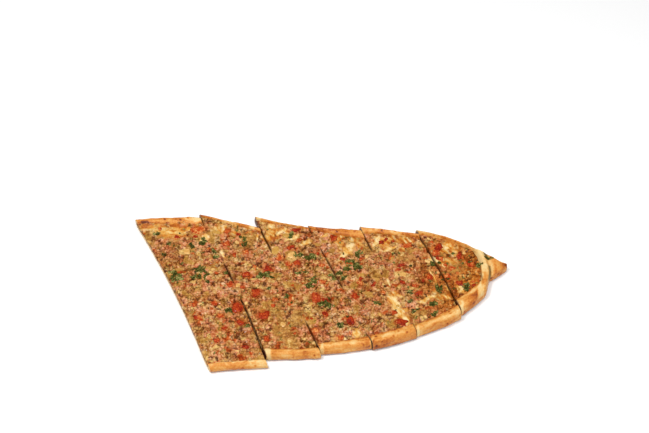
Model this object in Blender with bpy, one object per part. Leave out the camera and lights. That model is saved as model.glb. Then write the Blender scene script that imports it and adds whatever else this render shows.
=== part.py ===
"""Half of a baked minced-meat pide, cut across in slanted slices that have slid a little apart.

Each slice is a shallow trough of dough with a raised rim at both ends, and a bed of minced meat that
fills the trough from cut to cut. Diced tomato and parsley are fused to the meat.

Row frame, in metres: +X along the pide towards its pointed end, +Y across it, +Z up. The origin is
the middle of the box round the slices, on the face that they rest on.
"""

import math
import random

import bmesh
import bpy
from mathutils import Matrix, Vector, noise

MM = 0.001

# Outline of the pide before it was cut
TIP_X = 135.0 * MM
SIDE_SWELL = 42.0 * MM  # half width that the sides swell to behind the tip
SWELL_LENGTH = 38.0 * MM
TAPER = 0.10  # further half width for each metre away from the tip
TIP_RADIUS = 3.0 * MM
CENTRE_Y = 8.5 * MM
WEAVE = 3.5 * MM  # the centre line sways by this much
WEAVE_LENGTH = 200.0 * MM
WEAVE_CREST_X = -100.0 * MM
TIP_BEND = 8.0 * MM  # and its last stretch bends to +Y
TIP_BEND_LENGTH = 12.0 * MM
PINCH = 0.62  # the near flank of the pinched tip loses this share of its half width
PINCH_START = 17.5 * MM
PINCH_FULL = 13.0 * MM

# Knife cuts: where each crosses the level line, its slant from Y in degrees, how far it bows
# towards the tip, and its width at both ends
LEVEL_Y = 6.5 * MM
SOLVE_STEPS = 60  # steps that settle where a slanted line meets an edge
CUTS = (
    {"x": -109.4, "slant": 24.8, "bow": 2.6, "near_gap": 0.0, "far_gap": 0.0},
    {"x": -63.9, "slant": 22.2, "bow": 2.0, "near_gap": 2.4, "far_gap": 0.9},
    {"x": -24.4, "slant": 21.8, "bow": 0.4, "near_gap": 0.8, "far_gap": 1.0},
    {"x": 12.2, "slant": 22.7, "bow": 1.2, "near_gap": 0.9, "far_gap": 0.7},
    {"x": 48.6, "slant": 21.6, "bow": 0.2, "near_gap": 0.9, "far_gap": 0.9},
    {"x": 85.2, "slant": 19.0, "bow": 4.4, "near_gap": 1.4, "far_gap": 1.1},
)
TIP_END = {"x": 134.7, "slant": 0.0, "bow": 0.0, "near_gap": 0.0, "far_gap": 0.0}
CUT_NEAR_Y = -60.0 * MM
CUT_FAR_Y = 60.0 * MM

# One entry for each slice, from the wide cut end to the tip, in millimetres: how far it has slid
# along its cuts towards -Y; how far each edge stands out at its left and right end; and each rim's
# width at its left and right end, and its height
SLICES = (
    {"slide": 15.0, "near_out": (2.0, -0.8), "far_out": (0.3, 4.8),
     "near_rim": (5.2, 5.2, 7.0), "far_rim": (5.5, 8.0, 7.8)},
    {"slide": 8.5, "near_out": (-0.9, 0.0), "far_out": (1.2, -3.6),
     "near_rim": (7.0, 7.0, 8.2), "far_rim": (4.4, 4.8, 7.8)},
    {"slide": 3.5, "near_out": (2.0, 4.3), "far_out": (1.8, -0.4),
     "near_rim": (7.0, 8.0, 8.8), "far_rim": (4.2, 4.2, 8.2)},
    {"slide": 3.0, "near_out": (6.2, 6.6), "far_out": (0.0, 0.4),
     "near_rim": (8.8, 9.2, 10.2), "far_rim": (4.6, 9.0, 8.6)},
    {"slide": 2.0, "near_out": (6.8, 5.4), "far_out": (2.2, 0.6),
     "near_rim": (7.0, 9.0, 9.8), "far_rim": (6.4, 4.8, 8.8)},
    {"slide": 0.0, "near_out": (5.4, -2.4), "far_out": (2.0, 2.4),
     "near_rim": (11.5, 9.0, 9.6), "far_rim": (4.6, 4.2, 9.2)},
)

# Dough section
FLOOR_Z = 3.0 * MM
BULGE_Z = 3.4 * MM  # height at which the rim stands out furthest
OUTER_ROUND = 2.6 * MM
LOWER_ROUND = 2.8 * MM
SHOULDER_IN = 1.2 * MM
SHOULDER_DROP = 1.0 * MM
INNER_SLOPE = 1.0 * MM
RIM_WAVE = 0.5 * MM
RIM_WAVE_LENGTH = 22.0 * MM
FLOOR_SHARES = (0.2, 0.4, 0.6, 0.8)
STATIONS = 7
MOST_FILLED = 0.86  # both rims together take no more than this share of the slice, even at the tip

# Fold that closes the trough at the tip, in millimetres: distance from the tip along the middle, and
# the height of the dough there. A ridge, a groove, then the pinched flap.
FOLD = (
    (20.6, 3.0), (18.6, 6.4), (17.4, 8.4), (15.8, 9.2), (14.4, 8.6), (12.8, 7.0),
    (11.4, 7.8), (9.5, 8.8), (6.5, 8.4), (3.0, 7.0), (0.3, 5.2),
)
FOLD_MIDDLE_Y = 15.5 * MM
FOLD_HALF = 16.0 * MM
FOLD_BOW = 3.4 * MM  # at this distance from the middle the fold lies this much further back
FOLD_BEGIN = 25.0  # distance from the tip at which the closer stations begin
FOLD_STATIONS = 15
MEAT_STOP_TOP = 19.8 * MM  # distance from the tip at which the meat ends, short of the ridge
MEAT_STOP = 21.9 * MM
FLAP_START = 16.0 * MM  # from here to the next the near rim comes down to the flap
FLAP_FULL = 12.0 * MM
TIP_HEIGHT = 6.6 * MM

# Meat bed and what is fused to it
CLEARANCE = 0.35 * MM
MEAT_TOP = 6.4 * MM
MEAT_EDGE_DROP = 0.7 * MM
CRUMB_HEIGHT = 0.8 * MM
CRUMB_SIZE = 3.4 * MM
SWELL_HEIGHT = 0.5 * MM
SWELL_SIZE = 24.0 * MM
SWELL_LAYER = 4.5  # where the swell's noise is read
MEAT_COLUMNS = 11
MEAT_ROW = 4.3 * MM
PIECE_KEEP_IN = 0.5 * MM
DIE_HEIGHT = 2.3 * MM  # above its widest level, which lies below the meat's lowest crumb
DIE_SUNK = 0.9 * MM
LEAF_THICKNESS = 2.0 * MM
LEAF_SUNK = 1.4 * MM
SMALL_TOMATOES = 9
SMALL_LEAVES = 4
SEED = 7

# Larger tomato dice and parsley leaves: x, y, length, width in millimetres
TOMATO_DICE = (
    (-88, 53, 9, 8), (-57, -17, 8, 10), (-55, -31, 7, 7), (-84, -27, 6, 7), (-51, -52, 7, 6),
    (-68, 53, 5, 6), (-44, -4, 9, 10), (-39, -25, 10, 10), (-37, 17, 10, 8), (-36, -45, 5, 8),
    (-17, 53, 8, 6), (-28, 27, 6, 6), (-3, -9, 7, 12), (-4, -38, 7, 8), (21, -30, 6, 8),
    (10, 45, 6, 8), (21, 22, 6, 4), (25, -7, 5, 8), (57, -30, 10, 6),
    (60, 39, 9, 8), (45, 42, 5, 6), (70, -5, 7, 5), (78, 10, 5, 6),
    (86, 36, 10, 12), (100, 29, 6, 10), (109, 22, 6, 6), (90, 10, 5, 6),
)
PARSLEY_LEAVES = (
    (-102, 11, 9, 10), (-85, 13, 12, 12), (-86, 41, 5, 6), (-76, 31, 4, 7), (-56, 43, 5, 10),
    (-40, 11, 10, 4), (-11, 29, 14, 6), (-5, 5, 10, 8), (16, -34, 6, 6), (25, 20, 9, 10),
    (16, 11, 9, 8), (29, 30, 5, 6), (67, -20, 5, 6), (80, -24, 5, 5), (105, 1, 5, 8),
)


def clear_scene():
    for obj in list(bpy.data.objects):
        bpy.data.objects.remove(obj, do_unlink=True)


def make_material(name, colour, roughness):
    material = bpy.data.materials.new(name)
    material.use_nodes = True
    shader = material.node_tree.nodes["Principled BSDF"]
    shader.inputs["Base Color"].default_value = (*colour, 1.0)
    shader.inputs["Roughness"].default_value = roughness
    shader.inputs["Metallic"].default_value = 0.0
    return material


# ---- plan of the pide ----


def half_width(x):
    """Half the width of the uncut pide at x, rounded off at the tip."""
    behind = max(TIP_X - x, 0.0)
    sides = SIDE_SWELL * (1.0 - math.exp(-behind / SWELL_LENGTH)) + TAPER * behind
    rounding = 2.0 * TIP_RADIUS * behind * math.exp(-behind / TIP_RADIUS)
    return math.sqrt(sides * sides + rounding)


def centre_line(x):
    turn = 2.0 * math.pi * (x - WEAVE_CREST_X) / WEAVE_LENGTH
    return CENTRE_Y + WEAVE * math.cos(turn) + TIP_BEND * math.exp(-(TIP_X - x) / TIP_BEND_LENGTH)


def smooth_share(value, start, end):
    """0 at start, 1 at end, smooth between."""
    share = min(max((value - start) / (end - start), 0.0), 1.0)
    return share * share * (3.0 - 2.0 * share)


def near_edge(x):
    pinch = PINCH * smooth_share(TIP_X - x, PINCH_START, PINCH_FULL)
    return centre_line(x) - half_width(x) * (1.0 - pinch)


def far_edge(x):
    return centre_line(x) + half_width(x)


def cut_line(cut, y, side):
    """x of one side of a knife cut at y. side is +1 for the slice after it and -1 for the one before."""
    along = min(max((y - CUT_NEAR_Y) / (CUT_FAR_Y - CUT_NEAR_Y), 0.0), 1.0)
    gap = cut["near_gap"] + (cut["far_gap"] - cut["near_gap"]) * along
    bow = cut["bow"] * 4.0 * along * (1.0 - along)
    slanted = (y - LEVEL_Y) * math.tan(math.radians(cut["slant"]))
    return (cut["x"] + bow + side * gap / 2.0) * MM - slanted


class Slice:
    """One slice's plan: a share p across it, from one cut (0) to the next (1), and y along it."""

    def __init__(self, number):
        self.number = number
        self.left = CUTS[number]
        self.right = CUTS[number + 1] if number + 1 < len(CUTS) else TIP_END
        self.is_tip = self.right is TIP_END
        self.sizes = SLICES[number]

    def x(self, p, y):
        return (1.0 - p) * cut_line(self.left, y, 1) + p * cut_line(self.right, y, -1)

    def between(self, key, p):
        """A size given for both ends of the slice, at p."""
        left, right = self.sizes[key][:2]
        return (left + (right - left) * p) * MM

    def rim(self, side, p):
        """Width and height of the near or the far rim at p."""
        return self.between(side + "_rim", p), self.sizes[side + "_rim"][2] * MM

    def uncut_edge(self, side, p, x):
        if side == "near":
            return near_edge(x) - self.between("near_out", p)
        return far_edge(x) + self.between("far_out", p)

    def edge(self, side, p):
        """y at which the slanted line at p meets an edge, and its change for each metre straight in."""
        y = LEVEL_Y
        for _ in range(SOLVE_STEPS):
            y = 0.5 * (y + self.uncut_edge(side, p, self.x(p, y)))
        x = self.x(p, y)
        step = 0.2 * MM
        slope = (self.uncut_edge(side, p, x) - self.uncut_edge(side, p, x - step)) / step
        slant = math.radians((1.0 - p) * self.left["slant"] + p * self.right["slant"])
        facing = max(slope * math.sin(slant) + math.cos(slant), 0.3)
        return y - self.sizes["slide"] * MM, math.cos(slant) * math.hypot(1.0, slope) / facing

    def span(self, p):
        """(near y, far y, near step, far step) of the slice at p."""
        near, near_step = self.edge("near", p)
        far, far_step = self.edge("far", p)
        return near, far, near_step, far_step


def rim_side(width, top):
    """(inward, z) of a rim from the resting face, round its outer bulge and over, to the trough's floor."""
    quarter = math.radians(45)
    points = [(LOWER_ROUND, 0.0)]
    points.append((LOWER_ROUND * (1.0 - math.cos(quarter)), BULGE_Z * (1.0 - math.sin(quarter))))
    for degrees in (0, 30, 60, 90):
        turn = math.radians(degrees)
        inward = OUTER_ROUND * (1.0 - math.cos(turn))
        points.append((inward, BULGE_Z + (top - BULGE_Z) * math.sin(turn)))
    points.append((max(width - SHOULDER_IN, OUTER_ROUND + 0.6 * MM), top - SHOULDER_DROP))
    points.append((width + INNER_SLOPE, FLOOR_Z))
    return points


def fold_bow(y):
    """How much further back the fold lies at y than in its middle."""
    across = min(abs(y - FOLD_MIDDLE_Y) / FOLD_HALF, 1.1)
    return FOLD_BOW * across * across


def fold_height(x, y):
    """Height of the trough's floor, or of the fold that closes it."""
    behind = (TIP_X - x - fold_bow(y)) / MM
    if behind >= FOLD[0][0]:
        return FLOOR_Z
    for (start, high), (end, low) in zip(FOLD, FOLD[1:]):
        if behind >= end:
            return (low + (high - low) * (behind - end) / (start - end)) * MM
    return FOLD[-1][1] * MM


def rim_wave(x, y):
    return RIM_WAVE * noise.noise(Vector((x / RIM_WAVE_LENGTH, y / RIM_WAVE_LENGTH, 2.5)))


def rim_tops(piece, p, near, far):
    """Heights of the two rims' crests at p. At the tip they come down to the flap."""
    tops = []
    for side, y in (("near", near), ("far", far)):
        x = piece.x(p, y)
        tops.append(piece.rim(side, p)[1] + rim_wave(x, y))
    if piece.is_tip:
        behind = TIP_X - piece.x(p, (near + far) / 2.0)
        flap = smooth_share(behind, FLAP_START, FLAP_FULL)
        tops[0] += (fold_height(piece.x(p, near), near) - tops[0]) * flap
        tops[1] += (TIP_HEIGHT - tops[1]) * smooth_share(behind, FLAP_FULL, 0.0)
    return tops


def dough_ring(piece, p):
    """Closed section of the dough in the upright plane of the slanted line at p."""
    near, far, near_step, far_step = piece.span(p)
    near_top, far_top = rim_tops(piece, p, near, far)
    near_side = rim_side(piece.rim("near", p)[0], near_top)
    far_side = rim_side(piece.rim("far", p)[0], far_top)
    needed = near_side[-1][0] * near_step + far_side[-1][0] * far_step
    squeeze = min(1.0, MOST_FILLED * (far - near) / needed)
    section = [(near + inward * near_step * squeeze, z) for inward, z in near_side]
    other = [(far - inward * far_step * squeeze, z) for inward, z in reversed(far_side)]
    start, end = section[-1][0], other[0][0]
    middle = [start + (end - start) * share for share in FLOOR_SHARES]
    section += [(y, FLOOR_Z) for y in middle]
    section += other
    section += [(y, 0.0) for y in reversed(middle)]
    points = []
    for k, (y, z) in enumerate(section):
        x = piece.x(p, y)
        inside = len(near_side) - 2 <= k <= len(near_side) + len(FLOOR_SHARES) + 1
        if piece.is_tip and inside:
            z = max(z, fold_height(x, y))
        points.append(Vector((x, y, z)))
    return points


def stations_of(piece):
    """Shares p at which the dough's section is drawn. The tip has one at each turn of its fold."""
    if not piece.is_tip:
        return [k / (STATIONS - 1) for k in range(STATIONS)]
    length = TIP_END["x"] - piece.left["x"]
    before = 1.0 - FOLD_BEGIN / length
    shares = [before * k / 3.0 for k in range(3)]
    return shares + [before + (1.0 - before) * k / FOLD_STATIONS for k in range(FOLD_STATIONS + 1)]


def close_end(mesh, ring):
    """Cut face of the dough: one face for each rim, and a strip of faces along the floor between."""
    floor = len(FLOOR_SHARES)
    side = (len(ring) - 2 * floor) // 2
    mesh.faces.new(ring[:side])
    mesh.faces.new(ring[side + floor : 2 * side + floor])
    above = ring[side - 1 : side + floor + 1]
    below = [ring[0]] + list(reversed(ring[2 * side + floor - 1 :]))
    for k in range(floor + 1):
        mesh.faces.new((below[k], above[k], above[k + 1], below[k + 1]))


def make_dough(piece, material, collection):
    mesh = bmesh.new()
    rings = [[mesh.verts.new(point) for point in dough_ring(piece, p)] for p in stations_of(piece)]
    for ring, following in zip(rings, rings[1:]):
        for k in range(len(ring)):
            after = (k + 1) % len(ring)
            mesh.faces.new((ring[k], ring[after], following[after], following[k]))
    for ring in (rings[0], rings[-1]):
        close_end(mesh, ring)
    bmesh.ops.recalc_face_normals(mesh, faces=mesh.faces)
    return finish_object(f"slice_{piece.number + 1}_dough", mesh, material, collection)


# ---- meat bed ----


def swell_height(x, y):
    return SWELL_HEIGHT * noise.noise(Vector((x / SWELL_SIZE, y / SWELL_SIZE, SWELL_LAYER)))


def crumb_height(x, y):
    """Relief of the minced meat: one random step for each crumb, on a slow swell."""
    crumb = noise.cell(Vector((x / CRUMB_SIZE, y / CRUMB_SIZE, 0.5)))
    return CRUMB_HEIGHT * (crumb - 0.5) + swell_height(x, y)


def meat_inset(rim, z):
    """How far in from the edge the meat starts at height z, clear of the rim's inner slope."""
    width, height = rim
    top = height + RIM_WAVE - SHOULDER_DROP
    share = min(max((z - FLOOR_Z) / (top - FLOOR_Z), 0.0), 1.0)
    return width + INNER_SLOPE - share * (SHOULDER_IN + INNER_SLOPE) + CLEARANCE


def share_across(piece, x, y):
    left = cut_line(piece.left, y, 1)
    return (x - left) / (cut_line(piece.right, y, -1) - left)


def meat_x(piece, q, y, stop):
    """x at share q of the meat, from the left cut to the right one, or to where it ends at the tip."""
    if not piece.is_tip:
        return piece.x(q, y)
    return (1.0 - q) * cut_line(piece.left, y, 1) + q * (TIP_X - stop - fold_bow(y))


def meat_bound(piece, q, side, z, stop, further=0.0):
    """y at which the meat meets the near or the far rim at height z, or further in."""
    inward = 1.0 if side == "near" else -1.0
    y = LEVEL_Y
    for _ in range(SOLVE_STEPS):
        p = share_across(piece, meat_x(piece, q, y, stop), y)
        edge, step = piece.edge(side, p)
        y = 0.5 * (y + edge + inward * (meat_inset(piece.rim(side, p), z) + further) * step)
    return y


def meat_grid(piece):
    """Two grids of points, the meat's top and its underside, from cut to cut and from rim to rim."""
    edge_z = MEAT_TOP - MEAT_EDGE_DROP - CRUMB_HEIGHT
    middle = [meat_bound(piece, 0.5, side, edge_z, MEAT_STOP_TOP) for side in ("near", "far")]
    rows = round((middle[1] - middle[0]) / MEAT_ROW)
    top, under = [], []
    for column in range(MEAT_COLUMNS):
        q = column / (MEAT_COLUMNS - 1)
        top_column, under_column = [], []
        for level, stop, points in ((edge_z, MEAT_STOP_TOP, top_column), (FLOOR_Z, MEAT_STOP, under_column)):
            low = meat_bound(piece, q, "near", level, stop)
            high = meat_bound(piece, q, "far", level, stop)
            for row in range(rows + 1):
                y = low + (high - low) * row / rows
                x = meat_x(piece, q, y, stop)
                edge = MEAT_EDGE_DROP if row in (0, rows) else 0.0
                raised = points is top_column
                z = MEAT_TOP - edge + crumb_height(x, y) if raised else FLOOR_Z + CLEARANCE
                points.append(Vector((x, y, z)))
        top.append(top_column)
        under.append(under_column)
    return top, under


def perimeter(grid):
    """The border of a grid of items, once round."""
    last = len(grid) - 1
    border = list(grid[0])
    border += [grid[column][-1] for column in range(1, last)]
    border += list(reversed(grid[last]))
    border += [grid[column][0] for column in range(last - 1, 0, -1)]
    return border


def meat_core(piece):
    top, under = meat_grid(piece)
    mesh = bmesh.new()
    top_verts = [[mesh.verts.new(point) for point in column] for column in top]
    under_border = [mesh.verts.new(point) for point in perimeter(under)]
    top_border = perimeter(top_verts)
    for first, second in zip(top_verts, top_verts[1:]):
        for row in range(len(first) - 1):
            mesh.faces.new((first[row], second[row], second[row + 1], first[row + 1]))
    for k in range(len(top_border)):
        after = (k + 1) % len(top_border)
        mesh.faces.new((top_border[k], top_border[after], under_border[after], under_border[k]))
    mesh.faces.new(under_border)
    bmesh.ops.recalc_face_normals(mesh, faces=mesh.faces)
    return mesh


def tomato_die(length, width, turn, draw):
    """A soft-cornered die: a coarse ball pulled to three sizes, its corners moved a little."""
    mesh = bmesh.new()
    bmesh.ops.create_icosphere(mesh, subdivisions=1, radius=1.0)
    for vert in mesh.verts:
        vert.co *= draw.uniform(0.86, 1.1)
        vert.co.z *= 0.45 if vert.co.z < 0.0 else 1.0
    size = Matrix.Diagonal((length / 2.0, width / 2.0, DIE_HEIGHT, 1.0))
    mesh.transform(Matrix.Rotation(turn, 4, "Z") @ size)
    return mesh


def parsley_leaf(length, width, turn, draw):
    """A thin wavy leaf with both faces split alike."""
    mesh = bmesh.new()
    bmesh.ops.create_grid(mesh, x_segments=2, y_segments=2, size=1.0)
    for vert in mesh.verts:
        corner = abs(vert.co.x) + abs(vert.co.y) > 1.5
        vert.co *= 0.72 if corner else draw.uniform(0.85, 1.05)
        vert.co.z = draw.uniform(-0.3, 0.3)
    size = Matrix.Diagonal((length / 2.0, width / 2.0, 1.0 * MM, 1.0))
    mesh.transform(Matrix.Rotation(turn, 4, "Z") @ size)
    made = bmesh.ops.extrude_face_region(mesh, geom=list(mesh.faces))
    lifted = [item for item in made["geom"] if isinstance(item, bmesh.types.BMVert)]
    bmesh.ops.translate(mesh, verts=lifted, vec=(0.0, 0.0, LEAF_THICKNESS))
    bmesh.ops.triangulate(mesh, faces=mesh.faces)
    bmesh.ops.recalc_face_normals(mesh, faces=mesh.faces)
    return mesh


def kept_in(piece, x, y, radius):
    """(x, y) moved so that a piece of this radius stays inside the slice's meat."""
    clear = radius + PIECE_KEEP_IN
    left = cut_line(piece.left, y, 1)
    q = min(max((x - left) / (meat_x(piece, 1.0, y, MEAT_STOP_TOP) - left), 0.0), 1.0)
    low = meat_bound(piece, q, "near", FLOOR_Z, MEAT_STOP_TOP, clear)
    high = meat_bound(piece, q, "far", FLOOR_Z, MEAT_STOP_TOP, clear)
    y = min(max(y, low), high)
    left = cut_line(piece.left, y, 1) + 1.1 * clear
    right = meat_x(piece, 1.0, y, MEAT_STOP_TOP) - 1.1 * clear
    return min(max(x, left), right), y


def placed_pieces(piece, draw):
    """(kind, x, y, length, width) of what is fused to a slice's meat: named places first, then scattered."""
    found = []
    for kind, places in (("tomato", TOMATO_DICE), ("leaf", PARSLEY_LEAVES)):
        for x, y, length, width in places:
            p = share_across(piece, x * MM, y * MM)
            if 0.0 <= p < 1.0:
                found.append((kind, x * MM, y * MM, length * MM, width * MM))
    for kind, count, low, high in (("tomato", SMALL_TOMATOES, 3.0, 4.6), ("leaf", SMALL_LEAVES, 3.4, 5.0)):
        for _ in range(count):
            q = draw.uniform(0.08, 0.92)
            near = meat_bound(piece, q, "near", MEAT_TOP, MEAT_STOP_TOP)
            far = meat_bound(piece, q, "far", MEAT_TOP, MEAT_STOP_TOP)
            y = near + (far - near) * draw.uniform(0.05, 0.95)
            x = meat_x(piece, q, y, MEAT_STOP_TOP)
            size = draw.uniform(low, high) * MM
            found.append((kind, x, y, size, size * draw.uniform(0.7, 1.0)))
    return found


def make_topping(piece, material, collection):
    """The meat bed with its dice and leaves joined to it by one union."""
    draw = random.Random(SEED + piece.number)
    pieces = bpy.data.collections.new(f"pieces_{piece.number + 1}")
    bpy.context.scene.collection.children.link(pieces)
    taken = []
    for kind, x, y, length, width in placed_pieces(piece, draw):
        radius = max(length, width) / 2.0
        x, y = kept_in(piece, x, y, radius)
        turn = draw.uniform(0.0, math.pi) if length == width else 0.0
        make = tomato_die if kind == "tomato" else parsley_leaf
        mesh = make(length, width, turn, draw)
        if any(math.hypot(x - a, y - b) < radius + r for a, b, r in taken):
            mesh.free()
            continue
        taken.append((x, y, radius))
        z = MEAT_TOP + (-DIE_SUNK if kind == "tomato" else -LEAF_SUNK)
        mesh.transform(Matrix.Translation((x, y, z + swell_height(x, y))))
        finish_object(f"piece_{piece.number}_{len(taken)}", mesh, material, pieces)
    name = f"slice_{piece.number + 1}_topping"
    core = finish_object(name, meat_core(piece), material, collection)
    union = core.modifiers.new("fused", "BOOLEAN")
    union.operation = "UNION"
    union.operand_type = "COLLECTION"
    union.collection = pieces
    union.solver = "EXACT"
    apply_modifiers(core)
    for obj in list(pieces.objects):
        bpy.data.objects.remove(obj, do_unlink=True)
    bpy.data.collections.remove(pieces)
    return core


def apply_modifiers(obj):
    graph = bpy.context.evaluated_depsgraph_get()
    applied = bpy.data.meshes.new_from_object(obj.evaluated_get(graph))
    obj.modifiers.clear()
    obj.data = applied


def finish_object(name, mesh, material, collection):
    data = bpy.data.meshes.new(name)
    mesh.to_mesh(data)
    mesh.free()
    obj = bpy.data.objects.new(name, data)
    data.materials.append(material)
    collection.objects.link(obj)
    return obj


def main():
    clear_scene()
    pide = bpy.data.collections.new("pide")
    bpy.context.scene.collection.children.link(pide)
    crust = make_material("baked_dough", (0.72, 0.42, 0.17), 0.6)
    meat = make_material("minced_meat", (0.47, 0.24, 0.12), 0.45)
    for number in range(len(SLICES)):
        piece = Slice(number)
        make_dough(piece, crust, pide)
        make_topping(piece, meat, pide)


main()
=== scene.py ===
import math

import bmesh
import bpy
import numpy as np
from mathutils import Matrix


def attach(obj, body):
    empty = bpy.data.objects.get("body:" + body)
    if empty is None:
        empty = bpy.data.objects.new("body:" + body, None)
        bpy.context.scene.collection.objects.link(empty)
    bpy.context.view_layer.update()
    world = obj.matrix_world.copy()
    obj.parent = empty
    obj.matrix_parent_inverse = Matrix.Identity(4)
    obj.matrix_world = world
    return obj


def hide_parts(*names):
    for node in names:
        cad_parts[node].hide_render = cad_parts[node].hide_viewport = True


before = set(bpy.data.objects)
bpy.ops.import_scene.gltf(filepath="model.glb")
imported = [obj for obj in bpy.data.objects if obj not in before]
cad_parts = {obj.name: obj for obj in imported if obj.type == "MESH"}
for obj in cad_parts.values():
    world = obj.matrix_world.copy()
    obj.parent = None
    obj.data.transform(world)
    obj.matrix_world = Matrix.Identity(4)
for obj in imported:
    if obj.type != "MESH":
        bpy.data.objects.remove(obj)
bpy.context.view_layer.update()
bpy.context.scene.view_settings.view_transform = "Standard"

# All shapes are worked out in millimetres and put into the meshes in metres
mm = 0.001
mergeWithin = 1e-6   # points of a mesh that lie nearer than this are one


def share(value, start, end):
    # 0 at start, 1 at end, straight between
    return np.clip((value - start) / (end - start), 0.0, 1.0)


def easedShare(value, start, end):
    # 0 at start, 1 at end, flat at both
    t = share(value, start, end)
    return t * t * (3.0 - 2.0 * t)


def mixed(first, second, t):
    # first at 0, second at 1, straight between
    return first + (second - first) * t


def drawAt(i, j, seed):
    # a draw from 0 to 1 for each whole-number place: the fraction of a large sine
    value = np.sin(i * 127.1 + j * 311.7 + seed * 74.7) * 43758.5453
    return value - np.floor(value)


def noiseAt(x, y, size, seed):
    # smooth noise from -1 to 1: draws on a square lattice, eased into each other
    u, v = x / size + 0.37 * seed, y / size - 0.61 * seed
    i, j = np.floor(u), np.floor(v)
    a, b = u - i, v - j
    a, b = a * a * (3.0 - 2.0 * a), b * b * (3.0 - 2.0 * b)
    low = mixed(drawAt(i, j, seed), drawAt(i + 1, j, seed), a)
    high = mixed(drawAt(i, j + 1, seed), drawAt(i + 1, j + 1, seed), a)
    return 2.0 * mixed(low, high, b) - 1.0


def roughAt(x, y, size, seed):
    # three layers of smooth noise, each half as large and half as strong as the one before
    value = noiseAt(x, y, size, seed) + 0.5 * noiseAt(x, y, size / 2.0, seed + 1)
    return (value + 0.25 * noiseAt(x, y, size / 4.0, seed + 2)) / 1.75


def cellsAt(x, y, size, seed):
    # the nearest of points strewn one to a square: distance to it and to the next nearest, both in
    # squares, and the square that it belongs to
    u, v = x / size, y / size
    i, j = np.floor(u), np.floor(v)
    first, second = np.full(u.shape, 9.0), np.full(u.shape, 9.0)
    ownI, ownJ = i.copy(), j.copy()
    for di in (-1, 0, 1):
        for dj in (-1, 0, 1):
            ci, cj = i + di, j + dj
            du = ci + 0.1 + 0.8 * drawAt(ci, cj, seed) - u
            dv = cj + 0.1 + 0.8 * drawAt(ci, cj, seed + 5) - v
            distance = np.hypot(du, dv)
            nearer = distance < first
            second = np.where(nearer, first, np.minimum(second, distance))
            first = np.where(nearer, distance, first)
            ownI, ownJ = np.where(nearer, ci, ownI), np.where(nearer, cj, ownJ)
    return first, second, ownI, ownJ


def domeOver(away, reach):
    # half a ball over a strewn point, 1 at its top and 0 from its reach on
    return np.sqrt(np.clip(1.0 - (away / reach) ** 2, 0.0, 1.0))


def ellipseAway(u, v, px, py, length, width, turn):
    # distance from the middle of a turned ellipse, 1 on its line
    c, s = math.cos(math.radians(turn)), math.sin(math.radians(turn))
    du, dv = u - px, v - py
    return np.hypot((du * c + dv * s) / (length / 2.0), (dv * c - du * s) / (width / 2.0))


# The plan of the pide, as in the frame
outline = {
    "tipX": 135.0,
    "sideSwell": 42.0,     # half width that the sides swell to behind the tip
    "swellLength": 38.0,
    "taper": 0.10,
    "tipRadius": 3.0,
    "centreY": 8.5,
    "weave": 3.5,          # sway of the centre line
    "weaveLength": 200.0,
    "weaveCrestX": -100.0,
    "tipBend": 8.0,
    "tipBendLength": 12.0,
    "pinch": 0.62,         # share of its half width that the near flank of the tip loses
    "pinchStart": 17.5,
    "pinchFull": 13.0,
    "levelY": 6.5,         # the level line, on which the cuts' places are given
    "cutNearY": -60.0,     # where a cut's bow and width start and end
    "cutFarY": 60.0,
}

# Where each cut crosses the level line, its slant in degrees, its bow and its width at both ends,
# and from which y to which y the meat on both sides has closed up again
cuts = [
    {"x": -109.4, "slant": 24.8, "bow": 2.6, "nearGap": 0.0, "farGap": 0.0, "closed": []},
    {"x": -63.9, "slant": 22.2, "bow": 2.0, "nearGap": 2.1, "farGap": 0.9, "closed": [(21, 60), (-10, 6)]},
    {"x": -24.4, "slant": 21.8, "bow": 0.4, "nearGap": 0.8, "farGap": 1.0, "closed": [(-31, 33)]},
    {"x": 12.2, "slant": 22.7, "bow": 1.2, "nearGap": 0.9, "farGap": 0.7, "closed": [(-40, 0), (36, 50)]},
    {"x": 48.6, "slant": 21.6, "bow": 0.2, "nearGap": 0.9, "farGap": 0.9, "closed": [(-32, 34)]},
    {"x": 85.2, "slant": 19.0, "bow": 4.4, "nearGap": 1.4, "farGap": 1.1, "closed": []},
    {"x": 134.7, "slant": 0.0, "bow": 0.0, "nearGap": 0.0, "farGap": 0.0, "closed": []},
]

# Each slice: how far it has slid towards -Y, how far its edges stand out at its left and right end,
# each rim's width at both ends and height, and how brown it is
slices = [
    {"slide": 15.0, "nearOut": (2.0, -0.8), "farOut": (0.3, 4.8),
     "nearRim": (5.2, 5.2, 7.0), "farRim": (5.5, 8.0, 7.8),
     "nearBake": 0.3, "farBake": 0.56},
    {"slide": 8.5, "nearOut": (-0.9, 0.0), "farOut": (1.2, -3.6),
     "nearRim": (7.0, 7.0, 8.2), "farRim": (4.4, 4.8, 7.8),
     "nearBake": 0.58, "farBake": 0.66},
    {"slide": 3.5, "nearOut": (2.0, 4.3), "farOut": (1.8, -0.4),
     "nearRim": (7.0, 8.0, 8.8), "farRim": (4.2, 4.2, 8.2),
     "nearBake": 0.54, "farBake": 0.66},
    {"slide": 3.0, "nearOut": (6.2, 6.6), "farOut": (0.0, 0.4),
     "nearRim": (8.8, 9.2, 10.2), "farRim": (4.6, 9.0, 8.6),
     "nearBake": 0.54, "farBake": 0.65},
    {"slide": 2.0, "nearOut": (6.8, 5.4), "farOut": (2.2, 0.6),
     "nearRim": (7.0, 9.0, 9.8), "farRim": (6.4, 4.8, 8.8),
     "nearBake": 0.46, "farBake": 0.57},
    {"slide": 0.0, "nearOut": (5.4, -2.4), "farOut": (2.0, 2.4),
     "nearRim": (11.5, 9.0, 9.6), "farRim": (4.6, 4.2, 9.2),
     "nearBake": 0.5, "farBake": 0.38},
]
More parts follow.
